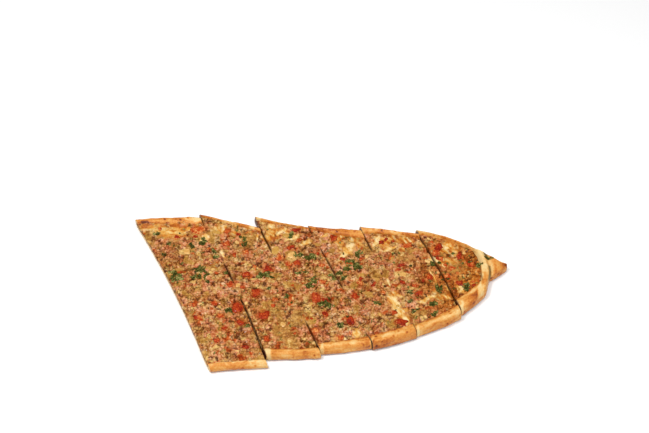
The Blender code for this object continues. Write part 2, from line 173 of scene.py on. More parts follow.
for number, part in enumerate(slices):
    part["left"], part["right"] = cuts[number], cuts[number + 1]
    part["isTip"] = number == len(slices) - 1
settleSteps = 24   # steps that settle where a slanted line meets an edge
# The leaning walls of a cut: what stays open at the underside, the height where the lean starts, and
# how far into the slice it is felt
leaning = {"leftOpen": 0.04, "startZ": 6.2, "reach": 1.2}


def halfWidth(x):
    # 1 - exp(-distance from the tip), plus a straight taper, rounded off at the tip
    behind = np.maximum(outline["tipX"] - x, 0.0)
    sides = outline["sideSwell"] * (1.0 - np.exp(-behind / outline["swellLength"]))
    sides = sides + outline["taper"] * behind
    rounding = 2.0 * outline["tipRadius"] * behind * np.exp(-behind / outline["tipRadius"])
    return np.sqrt(sides * sides + rounding)


def centreLine(x):
    # a cosine's sway along X, and a bend that grows exponentially towards the tip
    turn = 2.0 * math.pi * (x - outline["weaveCrestX"]) / outline["weaveLength"]
    bend = outline["tipBend"] * np.exp(-(outline["tipX"] - x) / outline["tipBendLength"])
    return outline["centreY"] + outline["weave"] * np.cos(turn) + bend


def uncutEdge(part, side, p, x):
    # the edge before the cuts, with what this slice stands out by
    low, high = part[side + "Out"]
    if side == "far":
        return centreLine(x) + halfWidth(x) + mixed(low, high, p)
    pinched = easedShare(outline["tipX"] - x, outline["pinchStart"], outline["pinchFull"])
    return centreLine(x) - halfWidth(x) * (1.0 - outline["pinch"] * pinched) - mixed(low, high, p)


def gapAt(cut, y):
    # width of the cut, straight between its near and its far end
    return mixed(cut["nearGap"], cut["farGap"], share(y, outline["cutNearY"], outline["cutFarY"]))


def cutX(cut, y, side):
    # a slanted line with a parabola's bow, moved half the gap to one side
    along = share(y, outline["cutNearY"], outline["cutFarY"])
    bow = cut["bow"] * 4.0 * along * (1.0 - along)
    slanted = (y - outline["levelY"]) * math.tan(math.radians(cut["slant"]))
    return cut["x"] + bow + side * gapAt(cut, y) / 2.0 - slanted


def closedAt(cut, y):
    # 1 where the meat has closed up over the cut, fading out at both ends of each stretch
    closed = np.zeros_like(y)
    for low, high in cut["closed"]:
        stretch = easedShare(y, low - 3.0, low + 3.0) * easedShare(y, high + 3.0, high - 3.0)
        closed = np.maximum(closed, stretch)
    return closed


def roomAt(cut, y):
    # how far one side may come towards the other
    return np.maximum(gapAt(cut, y) / 2.0 - leaning["leftOpen"], 0.0)


def leanOut(part, x, y, z):
    # the walls of a cut lean out with depth, until both sides nearly touch at the underside
    for cut, side in ((part["left"], 1), (part["right"], -1)):
        away = np.maximum(side * (x - cutX(cut, y, side)), 0.0)
        lean = side * roomAt(cut, y) * easedShare(z, leaning["startZ"], 0.0)
        x = x - lean * np.exp(-away / leaning["reach"])
    return x


def placeX(part, p, y):
    # x at share p of the way from the left cut to the right one
    return mixed(cutX(part["left"], y, 1), cutX(part["right"], y, -1), p)


def edgeY(part, side, p):
    # y where the slanted line at share p meets the edge, and its change for a millimetre straight in
    y = np.full(np.shape(p), outline["levelY"])
    for _ in range(settleSteps):
        y = 0.5 * (y + uncutEdge(part, side, p, placeX(part, p, y)))
    x, step = placeX(part, p, y), 0.2
    slope = (uncutEdge(part, side, p, x) - uncutEdge(part, side, p, x - step)) / step
    slant = np.radians(mixed(part["left"]["slant"], part["right"]["slant"], p))
    facing = np.maximum(slope * np.sin(slant) + np.cos(slant), 0.3)
    return y - part["slide"], np.cos(slant) * np.hypot(1.0, slope) / facing


def rimSize(part, side, p):
    # the rim's width, straight from the left cut to the right one, and its height
    low, high, top = part[side + "Rim"]
    return mixed(low, high, p), np.full(np.shape(p), top)


def addPiece(name, points, faces, values, material, slot, replaced=None, uv=None):
    # points in millimetres; coinciding ones are merged and all faces turned outwards
    mesh = bpy.data.meshes.new(name)
    mesh.from_pydata(points * mm, [], faces)
    for key, value in values.items():
        mesh.attributes.new(key, "FLOAT", "POINT").data.foreach_set("value", value.astype(np.float32))
    if uv is not None:
        corners = np.empty(len(mesh.loops), np.int32)
        mesh.loops.foreach_get("vertex_index", corners)
        layer = mesh.uv_layers.new(name="OFBake")
        layer.uv.foreach_set("vector", uv[corners].astype(np.float32).ravel())
    work = bmesh.new()
    work.from_mesh(mesh)
    bmesh.ops.remove_doubles(work, verts=work.verts, dist=mergeWithin)
    bmesh.ops.recalc_face_normals(work, faces=work.faces)
    for face in work.faces:
        face.smooth = True
    work.to_mesh(mesh)
    work.free()
    mesh.materials.append(material)
    piece = bpy.data.objects.new(name, mesh)
    bpy.context.scene.collection.objects.link(piece)
    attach(piece, "root")
    if replaced:
        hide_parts(replaced)
    return piece


def gridFaces(rows, columns, first=0):
    # the four corners of every cell of a grid whose points are numbered row by row
    start = first + np.arange(rows - 1)[:, None] * columns + np.arange(columns - 1)[None, :]
    cell = np.stack([start, start + 1, start + columns + 1, start + columns], -1)
    return cell.reshape(-1, 4)


def blockFaces(count, rows, columns):
    # the faces of several equal grids, one after another
    first = np.arange(count)[:, None, None] * rows * columns
    return (gridFaces(rows, columns)[None] + first).reshape(-1, 4)


# The troughs of dough
dough = {
    "floorZ": 3.0,
    "bulgeZ": 3.4,         # height at which a rim stands out furthest
    "outerRound": 2.6,
    "lowerRound": 2.8,
    "shoulderIn": 1.2,
    "shoulderDrop": 1.0,
    "innerSlope": 1.0,
    "mostFilled": 0.86,    # both rims take no more than this share of the slice, even at the tip
    "station": 0.45,       # spacing of the sections
    "lump": 0.34,          # the crust's unevenness, from large to small
    "dent": 0.22,
    "wrinkle": 0.09,
    "furrow": 0.16,        # shallow furrows along the rim
    "blister": 0.42,
    "blisterSize": 8.0,
    "blisterShare": 0.34,
    "crumbRough": 0.16,    # roughness of a cut face
    "spotSize": 5.0,       # dark spots
    "spotShare": 0.36,
    "spotBake": 0.34,
    "innerBake": {"near": 0.3, "far": 0.1},   # browner under the meat's edge
    "footBake": 0.3,       # browner where the rim meets the plate
    "lowRows": 9,          # rows of a rim's outer wall up to where it stands out furthest
    "wallRows": 24,        # rows of a rim's outer wall, from the underside to the crest
    "fallRows": 25,        # rows from the crest to the floor
    "floorRows": 40,
    "rungs": 9,            # rows of a cut face
}

# The fold that closes the trough: distance from the tip, and height there
fold = {
    "line": [(20.6, 3.0), (18.6, 6.4), (17.4, 8.4), (15.8, 9.2), (14.4, 8.6), (12.8, 7.0),
             (11.4, 7.8), (9.5, 8.8), (6.5, 8.4), (3.0, 7.0), (0.3, 5.2)],
    "middleY": 15.5,
    "half": 16.0,
    "bow": 3.4,
    "flapStart": 16.0,
    "flapFull": 12.0,
    "tipHeight": 6.6,
    "soften": 0.5,         # the line's corners are rounded by averaging it over this far to both sides
    "grooveAt": 13.2,
    "spot": (16.4, 6.0, 2.2, 6.5),   # golden spot: distance from the tip, y, and half its size
    "spotBake": 0.44,
    # distance from the tip, and browning
    "bakes": [(0.0, 0.84), (3.0, 0.78), (5.0, 0.56), (7.5, 0.44), (9.5, 0.64), (11.4, 0.2),
              (12.6, 0.34), (14.2, 0.36), (15.4, 0.1), (18.8, 0.06), (20.0, 0.3)],
}


def foldBow(y):
    # a parabola: how much further behind the tip the fold lies away from its middle
    across = np.minimum(np.abs(y - fold["middleY"]) / fold["half"], 1.1)
    return fold["bow"] * across * across


def foldBehind(x, y):
    # distance behind the tip, with the fold's bow taken off
    return outline["tipX"] - x - foldBow(y)


def foldHeight(x, y):
    # the fold's line, its corners rounded by averaging it over a short reach
    behind = foldBehind(x, y)
    line = np.array(fold["line"])[::-1]
    reach = np.linspace(-fold["soften"], fold["soften"], 5)
    return np.mean([np.interp(behind + move, line[:, 0], line[:, 1]) for move in reach], axis=0)


def foldBakeAt(x, y):
    # cream on the ridge with a golden spot, golden on the flap, browner towards the tip
    behind = foldBehind(x, y)
    bake = np.interp(behind, *np.array(fold["bakes"]).T)
    spotAt, spotY, deep, wide = fold["spot"]
    spot = np.hypot((behind - spotAt) / deep, (y - spotY) / wide)
    bake = bake + fold["spotBake"] * easedShare(spot, 1.2, 0.5)
    return bake + 0.14 * roughAt(x, y, 5.0, 93) + 0.12 * roughAt(x * 2.0, y / 3.0, 2.0, 95)


def rimProfile(width, top):
    # (inward, z) rows for each station: a quarter ellipse out and up to the bulge, another over the
    # crest, then a soft fall to the floor, with the share of the way from crest to shoulder
    low = np.linspace(0.0, math.pi / 2.0, dough["lowRows"])[:, None]
    high = np.linspace(0.0, math.pi / 2.0, dough["wallRows"] - dough["lowRows"] + 1)[1:, None]
    t = np.linspace(0.0, 1.0, dough["fallRows"] + 1)[1:, None]
    depth = width + dough["innerSlope"] - dough["outerRound"]
    shoulder = np.maximum(width - dough["shoulderIn"] - dough["outerRound"], 0.6) / depth
    kept = 1.0 - dough["shoulderDrop"] / (top - dough["floorZ"])
    u = share(t, shoulder, 1.0)
    slope = -2.0 * (1.0 - kept) / shoulder * (1.0 - shoulder)
    after = kept * (2.0 * u**3 - 3.0 * u**2 + 1.0) + slope * (u**3 - 2.0 * u**2 + u)
    fall = np.where(t < shoulder, 1.0 - (1.0 - kept) * (t / shoulder) ** 2, after)
    flat = np.zeros_like(width)
    inward = [dough["lowerRound"] * (1.0 - np.sin(low)) + flat]
    inward += [dough["outerRound"] * (1.0 - np.cos(high)) + flat, dough["outerRound"] + depth * t]
    z = [dough["bulgeZ"] * (1.0 - np.cos(low)) + flat]
    z += [dough["bulgeZ"] + (top - dough["bulgeZ"]) * np.sin(high)]
    z += [dough["floorZ"] + (top - dough["floorZ"]) * fall]
    before = np.zeros((len(low) + len(high), len(width)))
    toShoulder = np.concatenate([before, np.clip(t / shoulder, 0.0, 1.0)])
    return np.concatenate(inward), np.concatenate(z), toShoulder


def crustRelief(along, around, seed):
    # lumps, dents and wrinkles of noise, and round blisters on a third of the strewn points
    relief = dough["lump"] * noiseAt(along, around, 15.0, seed)
    relief += dough["dent"] * noiseAt(along, around, 5.0, seed + 3)
    relief += dough["wrinkle"] * roughAt(along, around, 1.6, seed + 6)
    relief += dough["furrow"] * noiseAt(along / 6.0, around, 1.3, seed + 12)
    near, _, i, j = cellsAt(along, around, dough["blisterSize"], seed)
    radius = 0.16 + 0.2 * drawAt(i, j, seed + 8)
    dome = dough["blister"] * radius * 2.4 * domeOver(near, radius)
    return relief + np.where(drawAt(i, j, seed + 9) < dough["blisterShare"], dome, 0.0)


# Places on the crust that are paler (below 0) or browner: x, y, length, width, turn, and by how much
marks = [
    (-93, 63.5, 15, 4, 0, -0.45), (-112, 61, 22, 3, 0, -0.2), (-127, 60, 8, 3, 0, 0.3),
    (-64, 60, 20, 4, -6, -0.3), (-50, 56, 4, 7, 0, -0.5), (-45, 63, 5, 5, 0, -0.5),
    (-34, 61, 16, 4, -6, -0.15), (-14, 57.8, 6, 5, 0, -0.35), (12, 53, 26, 3, -8, 0.15),
    (34, 46, 10, 6, 0, 0.12), (42, 54, 4, 5, 0, -0.4), (60, 51, 18, 4, -6, -0.12),
    (116.5, 30, 7, 3.5, -40, -0.45), (106, 38, 16, 3, -25, -0.15), (123, 28.5, 11, 5, -25, 0.24),
    (131, 24, 7, 2.5, -35, -0.4), (-56, -63.6, 34, 2.4, 1, -0.3), (-56, -67.5, 34, 2.4, 1, 0.12),
    (-35, -56, 5, 12, 20, -0.7), (-12, -55, 22, 3, 3, -0.2), (18, -50, 30, 3, 5, -0.25),
    (2, -52, 2.5, 8, 0, -0.3), (36, -47, 3, 8, 0, -0.35), (50, -43, 26, 3, 12, -0.2),
    (84, -30, 24, 4, 25, -0.25), (68, -38, 2.5, 8, 0, -0.3), (99.5, -18, 3, 9, 0, -0.4),
    (107, -11, 17, 6, 38, 0.14), (109, -4, 20, 2.5, 36, -0.3), (97, -24, 5, 5, 0, -0.2),
]


def markedAt(x, y):
    # soft ellipses with a wandering edge, each adding its own amount
    u, v = x + 1.2 * noiseAt(x, y, 3.0, 111), y + 1.2 * noiseAt(x, y, 3.0, 112)
    total = np.zeros_like(x)
    for px, py, length, width, turn, change in marks:
        total += change * easedShare(ellipseAway(u, v, px, py, length, width, turn), 1.3, 0.5)
    return total


def crustBake(along, around, seed):
    # how brown the crust is: wide patches, streaks along the rim, small patches and a few dark spots
    bake = 0.17 * noiseAt(along, around, 13.0, seed + 20) + 0.15 * roughAt(along, around, 4.0, seed + 24)
    bake += 0.13 * roughAt(along / 4.0, around, 1.6, seed + 27)
    near, _, i, j = cellsAt(along, around, dough["spotSize"], seed + 30)
    spot = easedShare(near, 0.26, 0.05) * (drawAt(i, j, seed + 31) < dough["spotShare"])
    return bake + dough["spotBake"] * spot


def stationShares(part):
    # shares across the slice at which its section is drawn
    width = part["right"]["x"] - part["left"]["x"]
    return np.linspace(0.0, 1.0, round(width / dough["station"]))


def doughSections(part, number):
    # x, y, z, browning and a darker line along the fold's groove, as rows along the section by stations
    # across
    p = stationShares(part)
    near, nearStep = edgeY(part, "near", p)
    far, farStep = edgeY(part, "far", p)
    middleX = placeX(part, p, (near + far) / 2.0)
    behind = outline["tipX"] - middleX
    sides = {}
    for side, y in (("near", near), ("far", far)):
        width, top = rimSize(part, side, p)
        if part["isTip"] and side == "near":
            flap = easedShare(behind, fold["flapStart"], fold["flapFull"])
            top = mixed(top, foldHeight(placeX(part, p, near), near), flap)
        if part["isTip"] and side == "far":
            top = mixed(top, fold["tipHeight"], easedShare(behind, fold["flapFull"], 0.0))
        inward, z, toShoulder = rimProfile(width, top)
        around = np.cumsum(np.hypot(np.gradient(inward, axis=0), np.gradient(z, axis=0)), axis=0)
        along = placeX(part, p, y) + np.zeros_like(inward)
        seed = 40 + 7 * number + (3 if side == "far" else 0)
        turnIn, turnZ = -np.gradient(z, axis=0), np.gradient(inward, axis=0)
        length = np.maximum(np.hypot(turnIn, turnZ), 1e-6)
        lift = crustRelief(along, around, seed) * easedShare(z, 0.0, 2.0) * easedShare(behind, 0.0, 6.0)
        inward, z = inward + lift * turnIn / length, z + lift * turnZ / length
        bake = part[side + "Bake"] + crustBake(along, around, seed) + 0.35 * lift
        uneven = 0.6 + 0.8 * noiseAt(along, around, 2.4, seed + 33)
        bake += dough["innerBake"][side] * easedShare(toShoulder, 0.5, 1.0) * uneven
        bake += dough["footBake"] * easedShare(z, 2.4, 0.4)
        sides[side] = (inward, z, toShoulder, bake)
    nearIn, nearZ, nearShoulder, nearBake = sides["near"]
    farIn, farZ, farShoulder, farBake = (rows[::-1] for rows in sides["far"])
    needed = nearIn[-1] * nearStep + farIn[0] * farStep
    squeeze = np.minimum(1.0, dough["mostFilled"] * (far - near) / needed)
    nearY = near + nearIn * nearStep * squeeze
    farY = far - farIn * farStep * squeeze
    across = np.linspace(0.0, 1.0, dough["floorRows"] + 2)[1:-1, None]
    floorY = mixed(nearY[-1], farY[0], across)
    flat = np.zeros_like(floorY)
    y = np.concatenate([nearY, floorY, farY])
    z = np.concatenate([nearZ, flat + dough["floorZ"], farZ])
    inside = np.concatenate([nearShoulder, flat + 1.0, farShoulder])
    bake = np.concatenate([nearBake, flat + 0.2, farBake])
    x = placeX(part, p, y)
    grooveLine = np.zeros_like(x)
    if part["isTip"]:
        folded = foldHeight(x, y) + crustRelief(x, y, 90) * 0.8
        raised = np.maximum(z, mixed(z, folded, inside))
        onFold = easedShare(raised - z, 0.0, 0.8)
        onTop = easedShare(z, 5.2, 7.2) * easedShare(foldBehind(x, y), 20.4, 18.6)
        bake = mixed(bake, foldBakeAt(x, y), np.maximum(onFold, onTop))
        # a darker olive line along the groove in the fold
        grooveLine = easedShare(np.abs(foldBehind(x, y) - fold["grooveAt"]), 1.3, 0.4) * easedShare(z, 4.0, 6.0)
        grooveLine *= easedShare(y, 3.0, 9.0)
        z = raised
    onCrest = np.where(y > outline["levelY"], easedShare(z, 4.5, 6.5), 1.0)
    bake = bake + markedAt(x, y) * onCrest
    return x, y, z, bake, grooveLine


def shadeBesideCuts(part, x, y, z):
    # painted shade: 1 on the floor where it shows between the meat of two slices, fading out away from an
    # open cut
    index = np.arange(len(z))[:, None]
    inner = (index >= dough["wallRows"]) & (index < len(z) - dough["wallRows"])
    beside = np.zeros_like(z)
    for cut, side in ((part["left"], 1), (part["right"], -1)):
        away = side * (x - cutX(cut, y, side))
        beside = np.maximum(beside, easedShare(away, 1.8, 0.8) * (gapAt(cut, y) > 0.0))
    return beside * easedShare(z, 5.6, 4.6) * inner


def makeDough(part, number):
    # the sections as a top surface, the same rows pressed flat as the underside, and two cut faces
    x, y, z, bake, grooveLine = doughSections(part, number)
    rows, stations = x.shape
    lowY = np.maximum.accumulate(np.clip(y, y[0], y[-1]), axis=0)
    lowX = placeX(part, stationShares(part), lowY)
    top = np.stack([leanOut(part, x, y, z), y, z], -1)
    under = np.stack([leanOut(part, lowX, lowY, 0.0 * z), lowY, 0.0 * z], -1)
    points = [top.reshape(-1, 3), under.reshape(-1, 3)]
    faces = [gridFaces(rows, stations), gridFaces(rows, stations, rows * stations)[:, ::-1]]
    nothing = np.zeros(rows * stations)
    underBake = 0.55 + 0.4 * roughAt(lowX, lowY, 9.0, 60 + number)
    # deep holds painted shade: the floor between the slices, and the lower part of an open cut face
    values = {"bake": [bake.ravel(), underBake.ravel()],
              "cut": [nothing, nothing],
              "deep": [shadeBesideCuts(part, x, y, z).ravel(), nothing],
              "grooveLine": [grooveLine.ravel(), nothing]}
    # each cut face is a ladder of rungs from the underside to the top
    rungs = np.linspace(0.0, 1.0, dough["rungs"])[:, None, None]
    for end, side, cut in ((0, -1, part["left"]), (stations - 1, 1, part["right"])):
        face = mixed(under[None, :, end], top[None, :, end], rungs)
        rough = roughAt(face[..., 1], face[..., 2] * 1.3, 1.8, 70 + number) * dough["crumbRough"]
        rough *= share(top[:, end, 2], 0.0, 0.5)  # smooth where the wall runs out at a rim's foot
        face[..., 0] += side * rough * np.sin(math.pi * rungs[..., 0])
        faces.append(gridFaces(len(rungs), rows, sum(len(block) for block in points)))
        points.append(face.reshape(-1, 3))
        level = rungs[..., 0] + 0.0 * face[..., 2]
        isOpen = gapAt(cut, face[..., 1]) > 0.0
        values["bake"].append(np.tile(bake[:, end], len(rungs)))
        values["cut"].append((easedShare(level, 1.0, 0.86) * easedShare(level, 0.0, 0.1)).ravel())
        # painted shade on the lower part of a cut face where the cut is open
        values["deep"].append((isOpen * easedShare(level, 0.98, 0.72)).ravel())
        values["grooveLine"].append(np.zeros(level.size))
    values = {key: np.concatenate(blocks) for key, blocks in values.items()}
    addPiece("crust_%d" % (number + 1), np.concatenate(points), np.concatenate(faces).tolist(), values,
             crustMaterial, "dough", "slice_%d_dough" % (number + 1))


# The beds of minced meat
mince = {
    "top": 6.4,
    "under": 3.3,
    "grid": 0.36,          # spacing of the surface's points
    "swell": 0.45,         # height of the slow swell
    "clump": 0.55,
    "clumpSize": 5.6,
    "crumb": 0.95,
    "crumbSize": 2.5,
    "grain": 0.34,
    "grainSize": 1.15,
    "hole": 0.8,
    "warp": 0.8,           # how far the crumbs' outlines wander
    "ragged": 0.5,         # how far a cut's edge wanders
    "edgeRound": 0.9,      # width of the rounded edge at a cut, and how much lower it ends
    "edgeFall": 0.55,
    "sideRows": 7,         # rows down the sides, at the cuts and at the rims
    "endRows": 2,
    "stopTop": 19.6,       # distance behind the tip at which the meat ends, at the fold
}

# Patches in the meat: x, y, length, width, turn in degrees, and what shows there. Thin meat lets the
# dough through in streaks, juice runs together smooth
patches = [
    (-108, 55, 52, 19, 0, "thin"), (-64, 53, 32, 14, -4, "thin"), (-33, 50, 26, 16, 0, "thin"),
    (20, 40, 26, 20, -24, "thin"), (57, 41, 40, 14, -6, "thin"), (92, 32, 20, 22, -20, "thin"),
    (56, -14, 9, 34, 22, "thin"), (22, -42, 24, 12, 0, "thin"), (88, -5, 14, 12, 20, "thin"),
    (-106, 51, 14, 4, -2, "dough"), (-94, 54, 12, 4, 10, "dough"), (-84, 46, 6, 9, -30, "dough"),
    (-70, 31, 3, 8, 20, "dough"), (-45, 46, 2, 7, 5, "dough"), (-50, 58, 10, 3, -4, "dough"),
    (-37, 57, 6, 5, 0, "dough"), (-28, 52, 3, 14, -35, "dough"), (-20, 45, 12, 4, 30, "dough"),
    (-11, 41, 10, 5, 24, "dough"), (19.5, 33, 7, 23, -33, "dough"), (4, 49, 5, 5, 0, "dough"),
    (49, 6, 2, 10, 20, "dough"), (53.5, -16, 7.5, 26, 22, "dough"), (60, -28, 6, 9, 10, "dough"),
    (41, 43, 4, 12, -28, "dough"), (51, 36, 14, 4, 28, "dough"), (82, 25, 8, 5, 0, "dough"),
    (92, 37, 4, 9, -30, "dough"), (100, -1, 7, 8, 0, "dough"), (76, -10, 12, 5, 24, "dough"),
    (80, 11, 3, 12, 20, "dough"), (16, -44, 7, 4, 0, "dough"), (25, -40, 5, 6, -20, "dough"),
    (-32, 34, 6, 7, 0, "onion"), (-20, 28, 8, 9, 30, "onion"), (57, 13, 9, 6, 0, "onion"),
    (-76, 52, 8, 5, -20, "onion"), (-98, 33, 7, 5, 0, "onion"), (-121, 52, 8, 6, 0, "onion"),
    (-13, -26, 12, 18, 20, "juice"), (-24, -38, 16, 22, 20, "juice"), (-32, -22, 14, 16, 20, "juice"),
    (-20, -50, 14, 9, 20, "juice"), (-52, 46, 14, 14, 0, "juice"), (62, 28, 16, 10, 0, "juice"),
    (97, 20, 14, 12, 0, "juice"), (36, 34, 14, 10, 0, "juice"), (70, -22, 14, 8, 20, "juice"),
]
# Noise that decides what lies where: size, the levels at which it starts and is all there, and seed
ingredients = {
    "tomato": (4.2, 0.36, 0.56, 40),
    "onion": (2.9, 0.4, 0.5, 44),
    "herb": (1.9, 0.5, 0.6, 48),
    "roast": (3.2, 0.28, 0.46, 52),
    "juice": (8.0, 0.3, 0.5, 56),
}


def patchMask(x, y, kind):
    # ellipses with a wandering edge
    u, v = x + 1.6 * noiseAt(x, y, 3.4, 11), y + 1.6 * noiseAt(x, y, 3.4, 12)
    mask = np.zeros_like(x)
    for px, py, length, width, turn, shown in patches:
        if shown == kind:
            away = ellipseAway(u, v, px, py, length, width, turn)
            mask = np.maximum(mask, easedShare(away, 1.3, 0.6))
    return mask


def minceAt(x, y):
    # height over the mean level, and what lies there. Clumps, crumbs and grains are domes on the
    # nearest strewn point, in three sizes; holes and ingredients lie where rough noise is high
    u = x + mince["warp"] * noiseAt(x, y, 2.1, 1) + 0.35 * noiseAt(x, y, 0.8, 3)
    v = y + mince["warp"] * noiseAt(x, y, 2.1, 2) + 0.35 * noiseAt(x, y, 0.8, 4)
    clumpAway, _, ci, cj = cellsAt(u, v, mince["clumpSize"], 5)
    clump = domeOver(clumpAway, 0.95) * (0.5 + drawAt(ci, cj, 6)) - 0.7
    away, nextAway, i, j = cellsAt(u, v, mince["crumbSize"], 7)
    crumb = domeOver(away, 0.55 + 0.35 * drawAt(i, j, 8)) * (0.35 + 0.65 * drawAt(i, j, 9)) - 0.45
    grainAway, _, k, m = cellsAt(u, v, mince["grainSize"], 10)
    grain = domeOver(grainAway, 0.8) - 0.6
    hole = easedShare(roughAt(x, y, 2.6, 62), -0.3, -0.55)
    level = roughAt(x / 3.5, y - 0.1 * x, 2.8, 65)
    streaks = mixed(level, roughAt(x + 0.6 * y, y / 2.2 - 0.3 * x, 1.9, 64), easedShare(x, -92.0, -72.0))
    thin = patchMask(x, y, "thin") * easedShare(roughAt(u, v, 5.5, 74), -0.3, 0.1)
    shown = patchMask(x, y, "dough")
    bare = np.maximum(shown, 0.85 * thin)
    onion = patchMask(x, y, "onion")
    smooth = np.maximum(bare, 0.8 * onion)
    found = {}
    for name, (size, low, high, seed) in ingredients.items():
        found[name] = easedShare(roughAt(u, v, size, seed), low, high) * (1.0 - smooth)
    pooled = patchMask(x, y, "juice") * (0.75 + 0.25 * noiseAt(x, y, 5.0, 14))
    found["juice"] = np.maximum(found["juice"], pooled)
    found["onion"] = np.maximum(found["onion"], onion)
    found["tomato"] = np.maximum(found["tomato"], 0.6 * stainMask(x, y))
    keep = (1.0 - 0.8 * smooth) * (1.0 - 0.6 * found["juice"])
    relief = mince["clump"] * clump + mince["crumb"] * crumb + mince["grain"] * grain - mince["hole"] * hole
    height = mince["swell"] * noiseAt(x, y, 21.0, 13) + relief * keep - 0.3 * bare
    tone = 0.5 + 0.3 * (drawAt(i, j, 17) - 0.5) + 0.3 * (drawAt(k, m, 16) - 0.5)
    tone += 0.29 * roughAt(x, y, 2.7, 66) + 0.1 * noiseAt(x, y, 12.0, 18) + 0.14 * crumb
    run = noiseAt(x / 3.2, y, 1.7, 68) + 0.5 * noiseAt(x / 2.2, y, 0.9, 69)
    tone = mixed(tone, 0.5 + 0.26 * run, 0.8 * found["juice"])
    # painted shade: the meat is painted darker between the crumbs and in the holes
    edge = easedShare(nextAway - away, 0.03, 0.24)
    gap = (1.0 - edge * easedShare(crumb + 0.45, 0.0, 0.3)) * easedShare(roughAt(x, y, 3.4, 70), -0.5, 0.3)
    gap = np.maximum(0.9 * gap, hole) * keep
    streak = 0.36 + (0.9 - 0.4 * shown) * streaks + 0.34 * shown
    pink = 0.48 + 1.2 * roughAt(x, y, 3.6, 72) + 0.4 * (drawAt(i, j, 19) - 0.5)
    warm = easedShare(x, 50.0, 100.0) + 0.4 * noiseAt(x, y, 16.0, 76)
    return {"height": height, "tone": tone, "bare": bare, "streak": streak, "pink": pink, "warm": warm,
            "gap": gap, **found}


def meatX(part, q, y):
    # x at share q of the meat, from the left cut to the right one, or to the fold at the tip
    if not part["isTip"]:
        return placeX(part, q, y)
    end = outline["tipX"] - mince["stopTop"] - foldBow(y)
    return mixed(cutX(part["left"], y, 1), end, q)


def meatEdge(part, side, q):
    # y at which the meat disappears under the rim's shoulder
    inward = 1.0 if side == "near" else -1.0
    y = np.full(q.shape, outline["levelY"])
    for _ in range(settleSteps):
        left = cutX(part["left"], y, 1)
        p = (meatX(part, q, y) - left) / (cutX(part["right"], y, -1) - left)
        edge, step = edgeY(part, side, p)
        width, top = rimSize(part, side, p)
        # a low rim is climbed by the meat, a high one covers its edge
        under = np.where(top < 8.0, dough["outerRound"] + 0.5, width - dough["shoulderIn"] - 0.4)
        y = 0.5 * (y + edge + inward * np.minimum(under, width - 1.0) * step)
    return y


def meatGrid(part):
    # rows from rim to rim, columns from cut to cut. Past either end the rows and columns go on down
    # the side: drop is 0 on top and 1 at the underside, facing says which way a side looks
    length = float(np.ptp([meatEdge(part, s, np.array([0.5]))[0] for s in ("near", "far")]))
    width = meatX(part, 1.0, outline["levelY"]) - meatX(part, 0.0, outline["levelY"])
    columns, rows = round(width / mince["grid"]), round(length / mince["grid"])
    sideRows, endRows = mince["sideRows"], mince["endRows"]
    i = np.arange(-sideRows, columns + sideRows)
    j = np.arange(-endRows, rows + endRows)[:, None]
    q = np.clip(i / (columns - 1.0), 0.0, 1.0)
    v = np.clip(j / (rows - 1.0), 0.0, 1.0)
    sideDrop = np.maximum(np.maximum(-i, i - columns + 1) / sideRows, 0.0)
    endDrop = np.maximum(np.maximum(-j, j - rows + 1) / endRows, 0.0)
    drop = np.maximum(sideDrop + 0.0 * v, endDrop + 0.0 * q)
    facing = np.sign(q - 0.5) * (sideDrop > 0.0) + 0.0 * v
    return q + 0.0 * v, v + 0.0 * q, drop, facing


